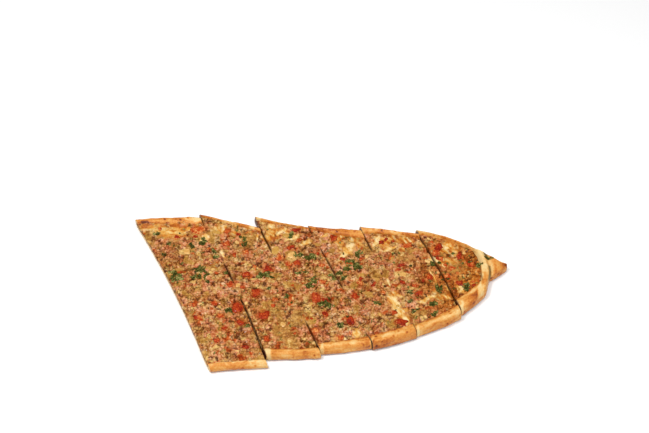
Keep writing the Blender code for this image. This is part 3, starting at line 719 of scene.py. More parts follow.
def makeMeat(part, number):
    # the grid at the height that minceAt gives, its sides drawn down to just over the trough's floor
    q, v, drop, facing = meatGrid(part)
    near, far = meatEdge(part, "near", q[0]), meatEdge(part, "far", q[0])
    y = mixed(near, far, v)
    x = meatX(part, q, y)
    leftAway = x - meatX(part, 0.0, y)
    rightAway = meatX(part, 1.0, y) - x
    # the cut's edge wanders out and in, crumb by crumb, and meets the next slice where it has closed
    shut, shaded = 0.0, 0.0
    for cut, side, away in ((part["left"], -1, leftAway), (part["right"], 1, rightAway)):
        if side > 0 and part["isTip"]:
            continue
        seed = 20 + 5 * number + 2 * side
        torn = 0.25 + 0.5 * noiseAt(y, 0.0 * y, 2.2, seed) + 0.3 * noiseAt(y, 0.0 * y, 7.0, seed + 1)
        closed = closedAt(cut, y)
        room = roomAt(cut, y)
        between = cut["farGap"] > 0.0
        most = np.minimum(mince["ragged"], 0.15 * room) if between else mince["ragged"]
        x = x + side * mixed(most * torn, room, closed) * np.exp(-away / 1.2)
        shut = np.maximum(shut, closed * np.exp(-away / 3.0))
        narrow = easedShare(gapAt(cut, y), 2.0, 1.1) * (1.0 - closed) * between
        shaded = np.maximum(shaded, easedShare(away, 0.9, 0.2) * narrow)
    depth = mince["top"] - mince["under"]
    found = minceAt(x + facing * drop * depth, y)
    height = found.pop("height")
    cutAway = leftAway if part["isTip"] else np.minimum(leftAway, rightAway)
    rounded = mince["edgeFall"] * np.clip(1.0 - cutAway / mince["edgeRound"], 0.0, 1.0) ** 2 * (1.0 - shut)
    z = mixed(mince["top"] + height - rounded, mince["under"], drop)
    bulge = np.sin(math.pi * drop) * (0.1 + 0.3 * height) * (1.0 - shut)
    x = leanOut(part, x + facing * bulge, y, np.where(drop > 0.0, z, mince["top"]))
    # painted shade down the meat's sides at the cuts, and along its edges beside narrow cuts
    found["gap"] = np.maximum(found["gap"], 0.8 * easedShare(drop, 0.05, 0.5) * (facing != 0.0))
    found["gap"] = np.maximum(found["gap"], 0.7 * shaded)
    rows, columns = x.shape
    points = np.stack([x, y, z], -1).reshape(-1, 3)
    border = np.concatenate([np.arange(columns), np.arange(2, rows) * columns - 1,
                             np.arange(rows * columns - 1, (rows - 1) * columns - 1, -1),
                             np.arange(rows - 2, 0, -1) * columns])
    faces = gridFaces(rows, columns).tolist() + [border[::-1].tolist()]
    u = (np.arange(columns) + 0.5) / columns + 0.0 * v
    w = (np.arange(rows)[:, None] + 0.5) / rows + 0.0 * q
    uv = np.stack([u, w], -1).reshape(-1, 2)
    values = {key: value.ravel() for key, value in found.items()}
    addPiece("mince_%d" % (number + 1), points, faces, values, minceMaterial, "topping",
             "slice_%d_topping" % (number + 1), uv)


# Larger dice of tomato: x, y, length, width, turn in degrees
tomatoes = [
    (-87.8, 53.3, 12, 9, 20), (-83.8, -27, 6, 7, 10), (-57.4, -17.5, 9, 10, -10), (-55, -30.6, 8, 6, -15),
    (-88.3, -15, 4, 5, 30), (-74, -13.6, 5, 5, 0), (-68.6, -24.7, 5, 5, 40), (-51.4, -51.6, 7, 5, 10),
    (-104, 47.4, 5, 4, 0), (-66, -36, 6, 4, 20), (-71, -46, 5, 5, 0), (-67.6, 52.6, 5, 6, 0),
    (-67.6, 40.2, 6, 5, 20), (-53.4, 32.5, 5, 5, 0), (-44.4, -4, 9, 9, 15), (-38.9, -24.7, 9, 9, 5),
    (-36.5, -44.7, 5, 7, 0), (-37.1, 17.1, 9, 8, 30), (-53, 12, 7, 5, 10), (-60, 3, 5, 6, 30),
    (-28.5, 27.3, 7, 5, 35), (-22.5, 22, 5, 6, 20), (-4.4, -37.7, 7, 6, -20), (-17, 53.3, 8, 5, 8),
    (-16.6, 22.2, 6, 6, 0), (-2.7, -9, 7, 11, 5), (4.1, -23.4, 5, 7, 20), (2.2, 5.3, 7, 4, 0),
    (21.3, -29.9, 6, 8, 25), (14.5, -43.6, 5, 5, 0), (-21, 37, 6, 4, 30), (10.5, 45.5, 7, 7, 0),
    (20.7, 21.6, 6, 4, 20), (25.4, -7.4, 6, 7, 30), (56.7, -29.9, 10, 6, -20), (28.4, 4.1, 6, 4, 0),
    (4, -11, 5, 5, 0), (52, -22, 5, 5, 20), (44.7, 41.7, 5, 5, 0), (70, -4.6, 7, 5, 0),
    (58.4, 20.1, 6, 4, 10), (78.5, 9.8, 5, 6, 0), (64, 39, 9, 6, 0), (67, 2, 5, 4, 0),
    (86.1, 36.4, 10, 8, 45), (84, 32, 6, 6, 10), (100.2, 29, 6, 9, 10), (108.8, 21.6, 6, 6, 0),
    (89.9, 10.5, 5, 6, 10), (99.8, 4.1, 5, 5, 0), (95, 18, 6, 4, 30),
]
# Onion and pepper: x, y, length, width, turn in degrees
onions = [
    (-76, 51, 7, 5, -20), (-31.9, 34.3, 6, 8, -10), (-19.9, 29.9, 7, 6, 20), (58.9, 11.6, 7, 5, 0),
    (30.2, 11.3, 5, 5, 0), (-96, 33, 6, 5, 10), (-58, 2, 4, 5, 0), (-106, 13, 6, 3, 20),
    (99, 30, 5, 4, 0), (-25, 48, 6, 5, 0), (78, 24, 5, 4, 20),
]
# Parsley: x, y, length, width, turn in degrees
leaves = [
    (-119.2, 50, 5, 3, 0), (-92.6, 38.6, 5, 5, 20), (-85.6, 40.9, 6, 5, 40), (-84, 44, 5, 4, 100),
    (-104, 12, 8, 5, 20), (-100, 8, 8, 6, -10), (-103, 7, 6, 4, 60), (-88, 16, 8, 6, 20),
    (-83, 12, 8, 7, -30), (-84, 18, 6, 5, 80), (-89, 10, 6, 5, 0), (-63.5, -20.5, 7, 3, 80),
    (-75.6, 33, 6, 4, 100), (-74, 28, 5, 4, 110), (-55.8, 45, 6, 5, 80), (-55.5, 40, 6, 6, 100),
    (-39.9, 10.9, 11, 4, -6), (-23, -7.7, 4, 4, 0), (-20.9, 48.7, 6, 5, 10), (-15, 30, 8, 5, -20),
    (-8, 27.6, 8, 5, 10), (-5, 29, 6, 4, 50), (-13.5, 13.5, 8, 5, 0), (-4.6, 6.5, 8, 6, 30),
    (-6, 2, 7, 5, -20), (3.1, -13.7, 8, 5, 10), (5, -16, 6, 4, 60), (15.7, -34, 6, 5, 0),
    (28.8, 31.5, 6, 5, 20), (27, 28, 5, 5, 80), (22.5, 22, 8, 6, 30), (27, 19, 7, 7, -20),
    (25, 20, 6, 6, 70), (20, 17, 7, 5, 0), (14, 12.5, 8, 5, 20), (17, 9, 7, 5, -10), (11, 9, 6, 4, 50),
    (40.5, -13.1, 5, 4, 0), (64.3, -3.9, 5, 4, 0), (67.1, -20.1, 6, 5, 40), (80.3, -23.6, 6, 5, 0),
    (79.7, -14.5, 7, 3, 0), (84, 0, 7, 3, 80), (85, -3, 5, 4, 20), (83.8, 22, 6, 4, -10),
    (105.2, 1.5, 6, 6, 60), (104, -1, 6, 5, 0), (115, 20, 5, 3, 90), (107.8, 23, 4, 3, 0),
    (119.6, 26.6, 6, 1.4, -25), (122.6, 25.2, 6, 1.4, -25), (-112, 30, 4, 3, 20), (-110, 40, 4, 3, 0),
    (-50, -34, 4, 3, 0), (-36, -1, 4, 3, 20), (64, -12, 4, 3, 10), (91, 8, 4, 3, 0), (-80, 5, 4, 3, 0),
    (-66, 12, 5, 3, 30),
]
strewnSeed = 12
# Lifts are over the mean level of the meat. Strewn is how many more lie on every slice, then their
# least and greatest size and what is added to the seed
tomatoDie = {
    "height": 1.3,
    "lift": -0.1,          # of its widest level
    "scale": 0.76,         # share of the reddened place that the die itself fills
    "follow": 0.75,        # share of the meat's relief that it follows
    "power": 0.62,         # 1 leaves a ball round, less squares it
    "uneven": 0.42,
    "strewn": (6, 2.2, 3.8, 1),
    "seed": 100,
}
onionBit = {
    "height": 0.7,
    "lift": 0.1,
    "scale": 0.8,
    "follow": 0.75,
    "power": 0.85,
    "uneven": 0.34,
    "strewn": (4, 2.2, 3.8, 2),
    "seed": 130,
}
leaf = {
    "pieces": 6,           # torn pieces that a leaf lies in
    "lift": 0.3,
    "curl": 0.5,
    "thickness": 0.2,
    "strewn": (9, 1.0, 2.6, 3),
}


def stainMask(x, y):
    # meat reddened by the tomato dice that lie in it
    u, v = x + 1.5 * noiseAt(x, y, 2.4, 21), y + 1.5 * noiseAt(x, y, 2.4, 22)
    mask = np.zeros_like(x)
    for px, py, length, width, _ in tomatoes:
        away = ellipseAway(u, v, px, py, length, width, 0.0)
        mask = np.maximum(mask, easedShare(away, 1.35, 0.95))
    return mask


def keptInside(places):
    # moved along X until half the piece's size clears the cuts on both sides
    c, s = np.abs(np.cos(np.radians(places[:, 4]))), np.abs(np.sin(np.radians(places[:, 4])))
    reach = 0.5 * (places[:, 2] * c + places[:, 3] * s)
    for part in slices:
        left, right = cutX(part["left"], places[:, 1], 1), cutX(part["right"], places[:, 1], -1)
        own = (places[:, 0] >= left - 1.5) & (places[:, 0] < right + 1.5)
        room = np.minimum(reach, 0.45 * (right - left))
        inside = np.clip(places[:, 0], left + room, np.maximum(right - room, left + room))
        places[:, 0] = np.where(own, inside, places[:, 0])
    return places


def strewn(each, low, high, more):
    # more pieces at drawn places on every slice's meat
    draw = np.random.default_rng(strewnSeed + more)
    rows = []
    for part in slices:
        q, v = draw.uniform(0.07, 0.93, each), draw.uniform(0.05, 0.95, each)
        y = mixed(meatEdge(part, "near", q), meatEdge(part, "far", q), v)
        size = draw.uniform(low, high, each)
        rows.append(np.stack([meatX(part, q, y), y, size, size * draw.uniform(0.6, 1.0, each),
                              draw.uniform(0.0, 180.0, each)], -1))
    return np.concatenate(rows)


def turned(places, u, v):
    # points of a unit piece scaled, turned and moved to each place
    x, y, length, width, turn = (places[:, k, None, None] for k in range(5))
    c, s = np.cos(np.radians(turn)), np.sin(np.radians(turn))
    a, b = u * length / 2.0, v * width / 2.0
    return x + a * c - b * s, y + a * s + b * c


def softDice(places, bit):
    # a ball whose sines and cosines are raised to a power below 1, which squares it, its surface
    # moved in and out by noise, laid over the meat's relief; rows from pole to pole and columns round
    # it, one block for each die
    count, rings, spokes, seed = len(places), 11, 20, bit["seed"]
    polar = np.linspace(0.0, math.pi, rings)[None, :, None]
    about = np.linspace(0.0, 2.0 * math.pi, spokes + 1)[None, None, :]
    mark = np.arange(count)[:, None, None] * 3.7 + seed

    def squared(value):
        return np.sign(value) * np.abs(value) ** bit["power"]

    waist = np.sin(polar) ** 0.7
    u, v = squared(np.cos(about)) * waist, squared(np.sin(about)) * waist
    w = squared(np.cos(polar)) + 0.0 * about
    bump = noiseAt(u * 1.2 + mark, v * 1.2 + w + mark, 1.0, seed)
    bump = bump + 0.5 * noiseAt(u * 3.0 + mark, v * 3.0 + w + mark, 1.0, seed + 1)
    swollen = 1.0 + bit["uneven"] * bump
    x, y = turned(places, u * swollen, v * swollen)
    lying = bit["follow"] * np.clip(minceAt(x, y)["height"], -0.8, 1.2)
    z = mince["top"] + bit["lift"] + lying + w * bit["height"] / 2.0 * (1.0 + 0.3 * bump)
    points = np.stack([x, y, z + 0.0 * x], -1).reshape(-1, 3)
    shade = drawAt(np.arange(count), 1.0, seed)[:, None, None] + 0.0 * x
    edge = np.clip(np.abs(u) ** 4 + np.abs(v) ** 4, 0.0, 1.0) + 0.0 * x
    values = {"shade": shade.ravel(), "skin": edge.ravel()}
    return points, blockFaces(count, rings, spokes + 1).tolist(), values


def makeDice(name, listed, bit, material):
    # the listed bits, and smaller ones strewn over every slice
    places = np.array(listed, float)
    places[:, 2:4] *= bit["scale"]
    places = np.concatenate([places, strewn(*bit["strewn"])])
    addPiece(name, *softDice(keptInside(places), bit), material, "topping")


def tornLeaves():
    # every leaf of the list as a few overlapping torn pieces, and small scraps all over
    draw = np.random.default_rng(strewnSeed + 9)
    torn = np.repeat(np.array(leaves, float), leaf["pieces"], axis=0)
    count = len(torn)
    torn[:, 0] += draw.uniform(-0.36, 0.36, count) * torn[:, 2]
    torn[:, 1] += draw.uniform(-0.4, 0.4, count) * torn[:, 3]
    torn[:, 2] *= draw.uniform(0.36, 0.78, count)
    torn[:, 3] = np.minimum(torn[:, 2] * draw.uniform(0.45, 0.8, count), torn[:, 3])
    torn[:, 4] += draw.normal(0.0, 1.0, count) * np.where(torn[:, 3] < 1.5, 6.0, 35.0)
    return keptInside(np.concatenate([torn, strewn(*leaf["strewn"])]))


def makeLeaves():
    # each piece is a disc of rings and spokes, its outline moved in and out by two noises, folded
    # along its length, curled at the rim and laid over the meat
    places = tornLeaves()
    count, rings, spokes = len(places), 5, 20
    index = np.arange(count)
    mark = (index * 5.3)[:, None, None]
    s = np.linspace(0.0, 1.0, rings)[None, :, None]
    turn = np.linspace(0.0, 2.0 * math.pi, spokes + 1)[None, None, :]
    edge = 0.8 + 0.3 * noiseAt(np.cos(turn) * 1.1 + mark, np.sin(turn) * 1.1 + mark, 1.0, 140)
    edge = edge + 0.26 * noiseAt(np.cos(turn) * 3.1 + mark, np.sin(turn) * 3.1 + mark, 1.0, 142)
    u, v = s * edge * np.cos(turn), s * edge * np.sin(turn)
    x, y = turned(places, u, v)
    lying = np.maximum(minceAt(x, y)["height"], -0.4)
    bend = drawAt(index, 5.0, 7.0)[:, None, None]
    curl = leaf["curl"] * s**2 * np.sin(turn * 2.0 + mark) * (0.3 + bend)
    folded = (bend - 0.5) * 0.9 * np.abs(v)
    ground = mince["top"] + 0.7 * lying
    ground = np.where(foldBehind(x, y) < mince["stopTop"], np.maximum(ground, foldHeight(x, y)), ground)
    z = ground + leaf["lift"] + np.maximum(curl + folded, -0.35)
    points = np.stack([x, y, z], -1).reshape(-1, 3)
    shade = drawAt(index, 6.0, 7.0)[:, None, None] + 0.0 * x
    values = {"shade": shade.ravel(), "rim": (s + 0.0 * x).ravel()}
    faces = blockFaces(count, rings, spokes + 1).tolist()
    piece = addPiece("parsleyLeaves", points, faces, values, parsleyMaterial, "topping")
    thickness = piece.modifiers.new("thickness", "SOLIDIFY")
    thickness.thickness = leaf["thickness"] * mm
    thickness.offset = 0.0


def paint(red, green, blue):
    # screen colour from 0 to 255 as the linear colour that a shader takes
    parts = [value / 255.0 for value in (red, green, blue)]
    parts = [value / 12.92 if value <= 0.04045 else ((value + 0.055) / 1.055) ** 2.4 for value in parts]
    return (*parts, 1.0)


def addNode(tree, kind, settings=None, **inputs):
    # a node with its settings, and its inputs either set or linked
    node = tree.nodes.new(kind)
    for key, value in (settings or {}).items():
        setattr(node, key, value)
    for key, value in inputs.items():
        setInput(tree, node, key.replace("_", " "), value)
    return node


def setInput(tree, node, key, value):
    # an input by its name or number
    socket = node.inputs[int(key)] if key.isdigit() else node.inputs[key]
    if isinstance(value, bpy.types.NodeSocket):
        tree.links.new(value, socket)
    else:
        socket.default_value = value


def calculate(tree, operation, first, second=0.0, clamp=False):
    # one Math node
    node = tree.nodes.new("ShaderNodeMath")
    node.operation, node.use_clamp = operation, clamp
    setInput(tree, node, "0", first)
    setInput(tree, node, "1", second)
    return node.outputs[0]


def added(tree, value, mask, amount):
    # value + mask x amount
    return calculate(tree, "ADD", value, calculate(tree, "MULTIPLY", mask, amount))


def varied(tree, value, mask, amount):
    # the value moved up where the mask is over a half, and down where it is under
    return added(tree, value, calculate(tree, "SUBTRACT", mask, 0.5), amount)


def easedOver(tree, value, start, end):
    # 0 at start, 1 at end, flat at both
    node = addNode(tree, "ShaderNodeMapRange", {"interpolation_type": "SMOOTHSTEP"}, Value=value,
                   From_Min=start, From_Max=end)
    return node.outputs["Result"]


def blend(tree, amount, first, second):
    # the first colour at 0, the second at 1; inputs 6 and 7 of a Mix node are its colours
    node = tree.nodes.new("ShaderNodeMix")
    node.data_type = "RGBA"
    for number, value in (("0", amount), ("6", first), ("7", second)):
        setInput(tree, node, number, value)
    return node.outputs[2]


def ramp(tree, amount, stops):
    # screen colours at places from 0 to 1
    node = tree.nodes.new("ShaderNodeValToRGB")
    while len(node.color_ramp.elements) < len(stops):
        node.color_ramp.elements.new(0.5)
    for element, (position, colour) in zip(node.color_ramp.elements, stops):
        element.position, element.color = position, paint(*colour)
    setInput(tree, node, "Fac", amount)
    return node.outputs["Color"]


def readValue(tree, name):
    # a value that the mesh holds at each point
    return addNode(tree, "ShaderNodeAttribute", {"attribute_name": name}).outputs["Fac"]


def newGroup(name, inputs, outputs):
    # an empty node group with named number inputs and outputs
    tree = bpy.data.node_groups.new(name, "ShaderNodeTree")
    for key, value in inputs.items():
        socket = tree.interface.new_socket(key, in_out="INPUT", socket_type="NodeSocketFloat")
        socket.default_value = value
    for key in outputs:
        tree.interface.new_socket(key, in_out="OUTPUT", socket_type="NodeSocketFloat")
    return tree, tree.nodes.new("NodeGroupInput"), tree.nodes.new("NodeGroupOutput")


def makeGrainGroup():
    # fine uneven grain: two noises of different size, as a mask and as a height
    tree, given, result = newGroup("fineGrain", {"Scale": 900.0}, ("Mask", "Height"))
    place = addNode(tree, "ShaderNodeTexCoord").outputs["Object"]
    wide = addNode(tree, "ShaderNodeTexNoise", Vector=place, Scale=given.outputs["Scale"], Detail=4.0)
    double = calculate(tree, "MULTIPLY", given.outputs["Scale"], 2.7)
    narrow = addNode(tree, "ShaderNodeTexNoise", Vector=place, Scale=double, Detail=2.0)
    both = calculate(tree, "ADD", wide.outputs["Fac"], narrow.outputs["Fac"])
    both = calculate(tree, "MULTIPLY", both, 0.5)
    tree.links.new(easedOver(tree, both, 0.38, 0.62), result.inputs["Mask"])
    tree.links.new(both, result.inputs["Height"])
    return tree


def makeSpotGroup():
    # soft round spots on part of the cells of a Voronoi pattern, their outlines moved about by noise
    tree, given, result = newGroup("roastSpots", {"Scale": 150.0, "Share": 0.4, "Size": 0.3}, ("Mask",))
    place = addNode(tree, "ShaderNodeTexCoord").outputs["Object"]
    bent = addNode(tree, "ShaderNodeTexNoise", Vector=place, Scale=400.0, Detail=2.0)
    shift = addNode(tree, "ShaderNodeVectorMath", {"operation": "SCALE"}, Scale=0.0022)
    tree.links.new(bent.outputs["Color"], shift.inputs[0])
    moved = addNode(tree, "ShaderNodeVectorMath", {"operation": "ADD"})
    tree.links.new(place, moved.inputs[0])
    tree.links.new(shift.outputs[0], moved.inputs[1])
    cells = addNode(tree, "ShaderNodeTexVoronoi", Vector=moved.outputs[0], Scale=given.outputs["Scale"])
    lot = addNode(tree, "ShaderNodeSeparateColor", Color=cells.outputs["Color"]).outputs[0]
    chosen = calculate(tree, "LESS_THAN", lot, given.outputs["Share"])
    near = easedOver(tree, cells.outputs["Distance"], given.outputs["Size"], 0.0)
    tree.links.new(calculate(tree, "MULTIPLY", near, chosen), result.inputs["Mask"])
    return tree


def makeOilGroup():
    # roughness of a greasy surface: patches of oil on a duller ground
    tree, given, result = newGroup("oilFilm", {"Scale": 220.0, "Oily": 0.28, "Dull": 0.55}, ("Roughness",))
    place = addNode(tree, "ShaderNodeTexCoord").outputs["Object"]
    film = addNode(tree, "ShaderNodeTexNoise", Vector=place, Scale=given.outputs["Scale"], Detail=3.0)
    rough = addNode(tree, "ShaderNodeMapRange", Value=easedOver(tree, film.outputs["Fac"], 0.38, 0.62),
                    To_Min=given.outputs["Dull"], To_Max=given.outputs["Oily"])
    tree.links.new(rough.outputs["Result"], result.inputs["Roughness"])
    return tree


grainGroup, spotGroup, oilGroup = makeGrainGroup(), makeSpotGroup(), makeOilGroup()


def placeGroup(tree, group, **inputs):
    # a group with its inputs by name
    return addNode(tree, "ShaderNodeGroup", {"node_tree": group}, **inputs)


def newMaterial(name):
    # an empty material, with its tree and its main shader
    material = bpy.data.materials.new(name)
    material.use_nodes = True
    return material, material.node_tree, material.node_tree.nodes["Principled BSDF"]


def dress(tree, shader, colour, height, relief, **film):
    # the colour, a roughness with oil on it, and a bump as deep as relief in metres
    tree.links.new(colour, shader.inputs["Base Color"])
    tree.links.new(placeGroup(tree, oilGroup, **film).outputs["Roughness"], shader.inputs["Roughness"])
    bump = addNode(tree, "ShaderNodeBump", Height=height, Distance=relief, Strength=1.0)
    tree.links.new(bump.outputs["Normal"], shader.inputs["Normal"])


def makeCrustMaterial():
    # browning as a row of colours moved by grain and spots, a porous crumb on the cut faces, and painted
    # shade in the pores and between the slices
    material, tree, shader = newMaterial("bakedCrust")
    grain = placeGroup(tree, grainGroup, Scale=700.0)
    spots = placeGroup(tree, spotGroup, Scale=230.0, Share=0.3, Size=0.42)
    bake = varied(tree, readValue(tree, "bake"), grain.outputs["Mask"], 0.2)
    bake = added(tree, bake, spots.outputs["Mask"], 0.22)
    colour = ramp(tree, bake, [(0.0, (220, 190, 132)), (0.22, (216, 170, 102)), (0.45, (206, 140, 62)),
                               (0.66, (186, 106, 32)), (0.86, (142, 66, 14)), (1.0, (90, 38, 10))])
    # a darker olive line along the fold's groove
    grooveLine = calculate(tree, "MULTIPLY", readValue(tree, "grooveLine"), 0.8)
    colour = blend(tree, grooveLine, colour, paint(84, 68, 26))
    # painted shade: the pores of the cut crumb are painted darker, as well as sunk by the bump
    pores = placeGroup(tree, spotGroup, Scale=620.0, Share=0.55, Size=0.5)
    crumb = blend(tree, pores.outputs["Mask"], paint(226, 190, 132), paint(196, 146, 84))
    cut = readValue(tree, "cut")
    colour = blend(tree, cut, colour, crumb)
    # painted shade, dark brown, where the floor and the cut faces lie deep between the slices
    colour = blend(tree, readValue(tree, "deep"), colour, paint(84, 30, 8))
    hollow = calculate(tree, "MULTIPLY", pores.outputs["Mask"], cut)
    height = added(tree, grain.outputs["Height"], hollow, -1.6)
    dress(tree, shader, colour, height, 0.0005, Scale=160.0, Oily=0.36, Dull=0.6)
    shader.inputs["Specular IOR Level"].default_value = 0.25
    return material


def makeMinceMaterial():
    # the crumb's tone as a row of colours, and each mask of the mesh blended over it in turn
    material, tree, shader = newMaterial("mincedMeat")
    grain = placeGroup(tree, grainGroup, Scale=1000.0)
    coarse = placeGroup(tree, grainGroup, Scale=430.0)
    tone = varied(tree, readValue(tree, "tone"), grain.outputs["Mask"], 0.3)
    tone = varied(tree, tone, coarse.outputs["Mask"], 0.16)
    olive = ramp(tree, tone, [(0.0, (78, 38, 2)), (0.22, (124, 78, 24)), (0.42, (163, 116, 54)),
                              (0.62, (187, 142, 83)), (0.82, (201, 164, 109)), (1.0, (216, 186, 140))])
    rosy = ramp(tree, tone, [(0.0, (92, 32, 4)), (0.22, (142, 68, 28)), (0.42, (179, 102, 59)),
                             (0.62, (201, 129, 89)), (0.82, (210, 151, 114)), (1.0, (221, 174, 142))])
    colour = blend(tree, readValue(tree, "pink"), olive, rosy)
    oily = ramp(tree, tone, [(0.0, (84, 32, 2)), (0.5, (168, 88, 20)), (1.0, (210, 146, 70))])
    colour = blend(tree, calculate(tree, "MULTIPLY", readValue(tree, "warm"), 0.78), colour, oily)
    tomato = ramp(tree, tone, [(0.1, (116, 36, 2)), (0.5, (168, 70, 20)), (0.95, (204, 114, 56))])
    onion = ramp(tree, tone, [(0.1, (170, 126, 54)), (0.9, (222, 184, 116))])
    herb = ramp(tree, tone, [(0.1, (46, 46, 10)), (0.9, (116, 108, 44))])
    juice = ramp(tree, tone, [(0.0, (98, 58, 14)), (0.5, (168, 118, 50)), (1.0, (206, 162, 92))])
    streak = varied(tree, readValue(tree, "streak"), coarse.outputs["Mask"], 0.24)
    bare = ramp(tree, streak, [(0.0, (168, 84, 20)), (0.22, (196, 120, 38)), (0.45, (210, 152, 68)),
                               (0.7, (217, 180, 112)), (0.95, (228, 202, 150))])
    shownBy = {"juice": juice, "onion": onion, "tomato": tomato, "herb": herb, "bare": bare}
    for name, shown in shownBy.items():
        colour = blend(tree, readValue(tree, name), colour, shown)
    roast = calculate(tree, "MULTIPLY", readValue(tree, "roast"), 0.4)
    colour = blend(tree, roast, colour, paint(108, 48, 16))
    # painted shade: dark between the crumbs, in the holes and down the cut sides
    gap = calculate(tree, "MULTIPLY", readValue(tree, "gap"), 0.88)
    colour = blend(tree, gap, colour, paint(64, 18, 0))
    height = calculate(tree, "ADD", grain.outputs["Height"], coarse.outputs["Height"])
    dress(tree, shader, colour, height, 0.00045, Scale=420.0, Oily=0.26, Dull=0.58)
    # wet spots, but none down between the crumbs
    wet = placeGroup(tree, spotGroup, Scale=520.0, Share=0.34, Size=0.5)
    raised = calculate(tree, "SUBTRACT", 1.0, readValue(tree, "gap"), clamp=True)
    tree.links.new(calculate(tree, "MULTIPLY", wet.outputs["Mask"], raised), shader.inputs["Coat Weight"])
    shader.inputs["Coat Roughness"].default_value = 0.14
    shader.inputs["Specular IOR Level"].default_value = 0.05
    return material


def makeTomatoMaterial():
    # each die's own shade and two grains as rows of colours, darker along the skin
    material, tree, shader = newMaterial("cookedTomato")
    grain = placeGroup(tree, grainGroup, Scale=380.0)
    fine = placeGroup(tree, grainGroup, Scale=1000.0)
    tone = calculate(tree, "MULTIPLY", readValue(tree, "shade"), 0.36)
    tone = added(tree, tone, grain.outputs["Mask"], 0.42)
    tone = added(tree, tone, fine.outputs["Mask"], 0.32)
    flesh = ramp(tree, tone, [(0.1, (88, 20, 2)), (0.38, (138, 32, 8)), (0.64, (168, 52, 18)),
                              (0.84, (188, 88, 36)), (1.0, (212, 148, 88))])
    paler = ramp(tree, tone, [(0.1, (108, 38, 4)), (0.38, (154, 56, 12)), (0.64, (184, 86, 28)),
                              (0.84, (202, 126, 54)), (1.0, (222, 172, 104))])
    ripeness = varied(tree, readValue(tree, "shade"), grain.outputs["Mask"], 0.5)
    flesh = blend(tree, calculate(tree, "MULTIPLY", ripeness, 0.5, clamp=True), flesh, paler)
    skin = calculate(tree, "MULTIPLY", readValue(tree, "skin"), 0.4)
    colour = blend(tree, skin, flesh, paint(138, 40, 10))
    dress(tree, shader, colour, grain.outputs["Height"], 0.0008, Scale=300.0, Oily=0.2, Dull=0.46)
    wet = placeGroup(tree, spotGroup, Scale=520.0, Share=0.4, Size=0.5)
    tree.links.new(wet.outputs["Mask"], shader.inputs["Coat Weight"])
    shader.inputs["Coat Roughness"].default_value = 0.12
    shader.inputs["Specular IOR Level"].default_value = 0.08
    return material


def makeOnionMaterial():
    # each bit's own shade as a row of colours, browner where two grains meet
    material, tree, shader = newMaterial("softOnion")
    grain = placeGroup(tree, grainGroup, Scale=420.0)
    fine = placeGroup(tree, grainGroup, Scale=1000.0)
    flesh = ramp(tree, readValue(tree, "shade"), [(0.0, (180, 138, 54)), (0.5, (204, 156, 76)),
                                                  (1.0, (222, 182, 112))])
    browned = calculate(tree, "MULTIPLY", grain.outputs["Mask"], fine.outputs["Mask"])
    browned = calculate(tree, "MULTIPLY", browned, 0.9)
    colour = blend(tree, browned, flesh, paint(164, 98, 32))
    dress(tree, shader, colour, grain.outputs["Height"], 0.0005, Scale=300.0, Oily=0.22, Dull=0.45)
    return material


def makeParsleyMaterial():
    # each scrap's own shade and two grains as a row of greens, drier towards the rim
    material, tree, shader = newMaterial("cookedParsley")
    grain = placeGroup(tree, grainGroup, Scale=620.0)
    fine = placeGroup(tree, grainGroup, Scale=1500.0)
    tone = calculate(tree, "MULTIPLY", readValue(tree, "shade"), 0.55)
    tone = added(tree, tone, grain.outputs["Mask"], 0.45)
    tone = varied(tree, tone, fine.outputs["Mask"], 0.55)
    green = ramp(tree, tone, [(0.05, (26, 26, 0)), (0.5, (64, 66, 14)), (0.85, (128, 124, 56)),
                              (1.0, (174, 164, 104))])
    dry = calculate(tree, "MULTIPLY", calculate(tree, "POWER", readValue(tree, "rim"), 5.0), 0.35)
    colour = blend(tree, dry, green, paint(92, 76, 26))
    dress(tree, shader, colour, grain.outputs["Height"], 0.0006, Scale=300.0, Oily=0.25, Dull=0.5)
    shader.inputs["Specular IOR Level"].default_value = 0.08
    return material


crustMaterial = makeCrustMaterial()
minceMaterial = makeMinceMaterial()
tomatoMaterial = makeTomatoMaterial()
onionMaterial = makeOnionMaterial()
parsleyMaterial = makeParsleyMaterial()
print("materials made")

for number, part in enumerate(slices):
    makeDough(part, number)
    makeMeat(part, number)
    print("slice", number + 1, "made")
makeDice("tomatoDice", tomatoes, tomatoDie, tomatoMaterial)
makeDice("onionBits", onions, onionBit, onionMaterial)
makeLeaves()
print("tomato, onion and parsley made")


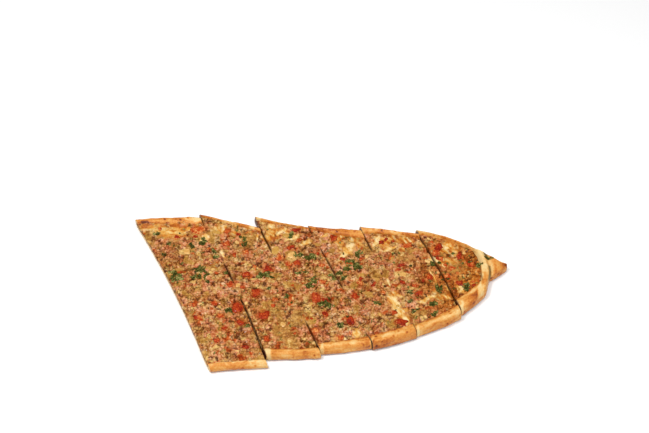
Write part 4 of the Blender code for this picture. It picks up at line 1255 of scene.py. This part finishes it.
# Floor, light and camera: places and sizes in metres, the elevation in degrees, the lens in millimetres
studio = {
    "floorSize": 6.0,
    "floorZ": -0.0002,
    "floorGrey": 0.86,
    "plateX": 0.001,       # middle of the plate that the row lies on, where the camera aims
    "plateY": 0.0765,
    "distance": 1.1,
    "elevation": 49.0,
    "lens": 81.76,
    "shiftX": 0.0054,
    "shiftY": -0.0066,
    "world": 0.42,
    # place, size and power
    "lights": {"key": ((-0.35, -0.15, 1.0), 0.3, 7.0), "fill": ((0.3, -0.5, 1.2), 0.9, 11.0)},
}


def makeFloor():
    # a pale square just under the part
    half, z = studio["floorSize"] / 2.0, studio["floorZ"]
    corners = [(-half, -half, z), (half, -half, z), (half, half, z), (-half, half, z)]
    mesh = bpy.data.meshes.new("floor")
    mesh.from_pydata(corners, [], [(0, 1, 2, 3)])
    floor = bpy.data.objects.new("floor", mesh)
    bpy.context.scene.collection.objects.link(floor)
    material, _, shader = newMaterial("paleFloor")
    shader.inputs["Base Color"].default_value = (*[studio["floorGrey"]] * 3, 1.0)
    shader.inputs["Roughness"].default_value = 0.7
    mesh.materials.append(material)


def addLight(name, place, size, power):
    # a square area light that looks at the origin
    light = bpy.data.lights.new(name, "AREA")
    light.shape, light.size, light.energy = "SQUARE", size, power
    lamp = bpy.data.objects.new(name, light)
    lamp.location = place
    aim = -lamp.location.normalized()
    lamp.rotation_euler = aim.to_track_quat("-Z", "Y").to_euler()
    bpy.context.scene.collection.objects.link(lamp)


def makeStudio():
    # floor, an even white room and both lights
    makeFloor()
    world = bpy.data.worlds.new("softRoom")
    world.use_nodes = True
    world.node_tree.nodes["Background"].inputs["Color"].default_value = (1.0, 1.0, 1.0, 1.0)
    world.node_tree.nodes["Background"].inputs["Strength"].default_value = studio["world"]
    bpy.context.scene.world = world
    for name, (place, size, power) in studio["lights"].items():
        addLight(name, place, size, power)


def makeCamera():
    # looks down at the plate's middle from a distance along a slanted line
    camera = bpy.data.objects.new("camera", bpy.data.cameras.new("camera"))
    rise = math.radians(studio["elevation"])
    back = studio["distance"]
    camera.location = (studio["plateX"], studio["plateY"] - back * math.cos(rise), back * math.sin(rise))
    camera.rotation_euler = (math.pi / 2.0 - rise, 0.0, 0.0)
    camera.data.lens = studio["lens"]
    camera.data.shift_x, camera.data.shift_y = studio["shiftX"], studio["shiftY"]
    bpy.context.scene.collection.objects.link(camera)
    bpy.context.scene.camera = camera


makeStudio()
makeCamera()
print("studio made")
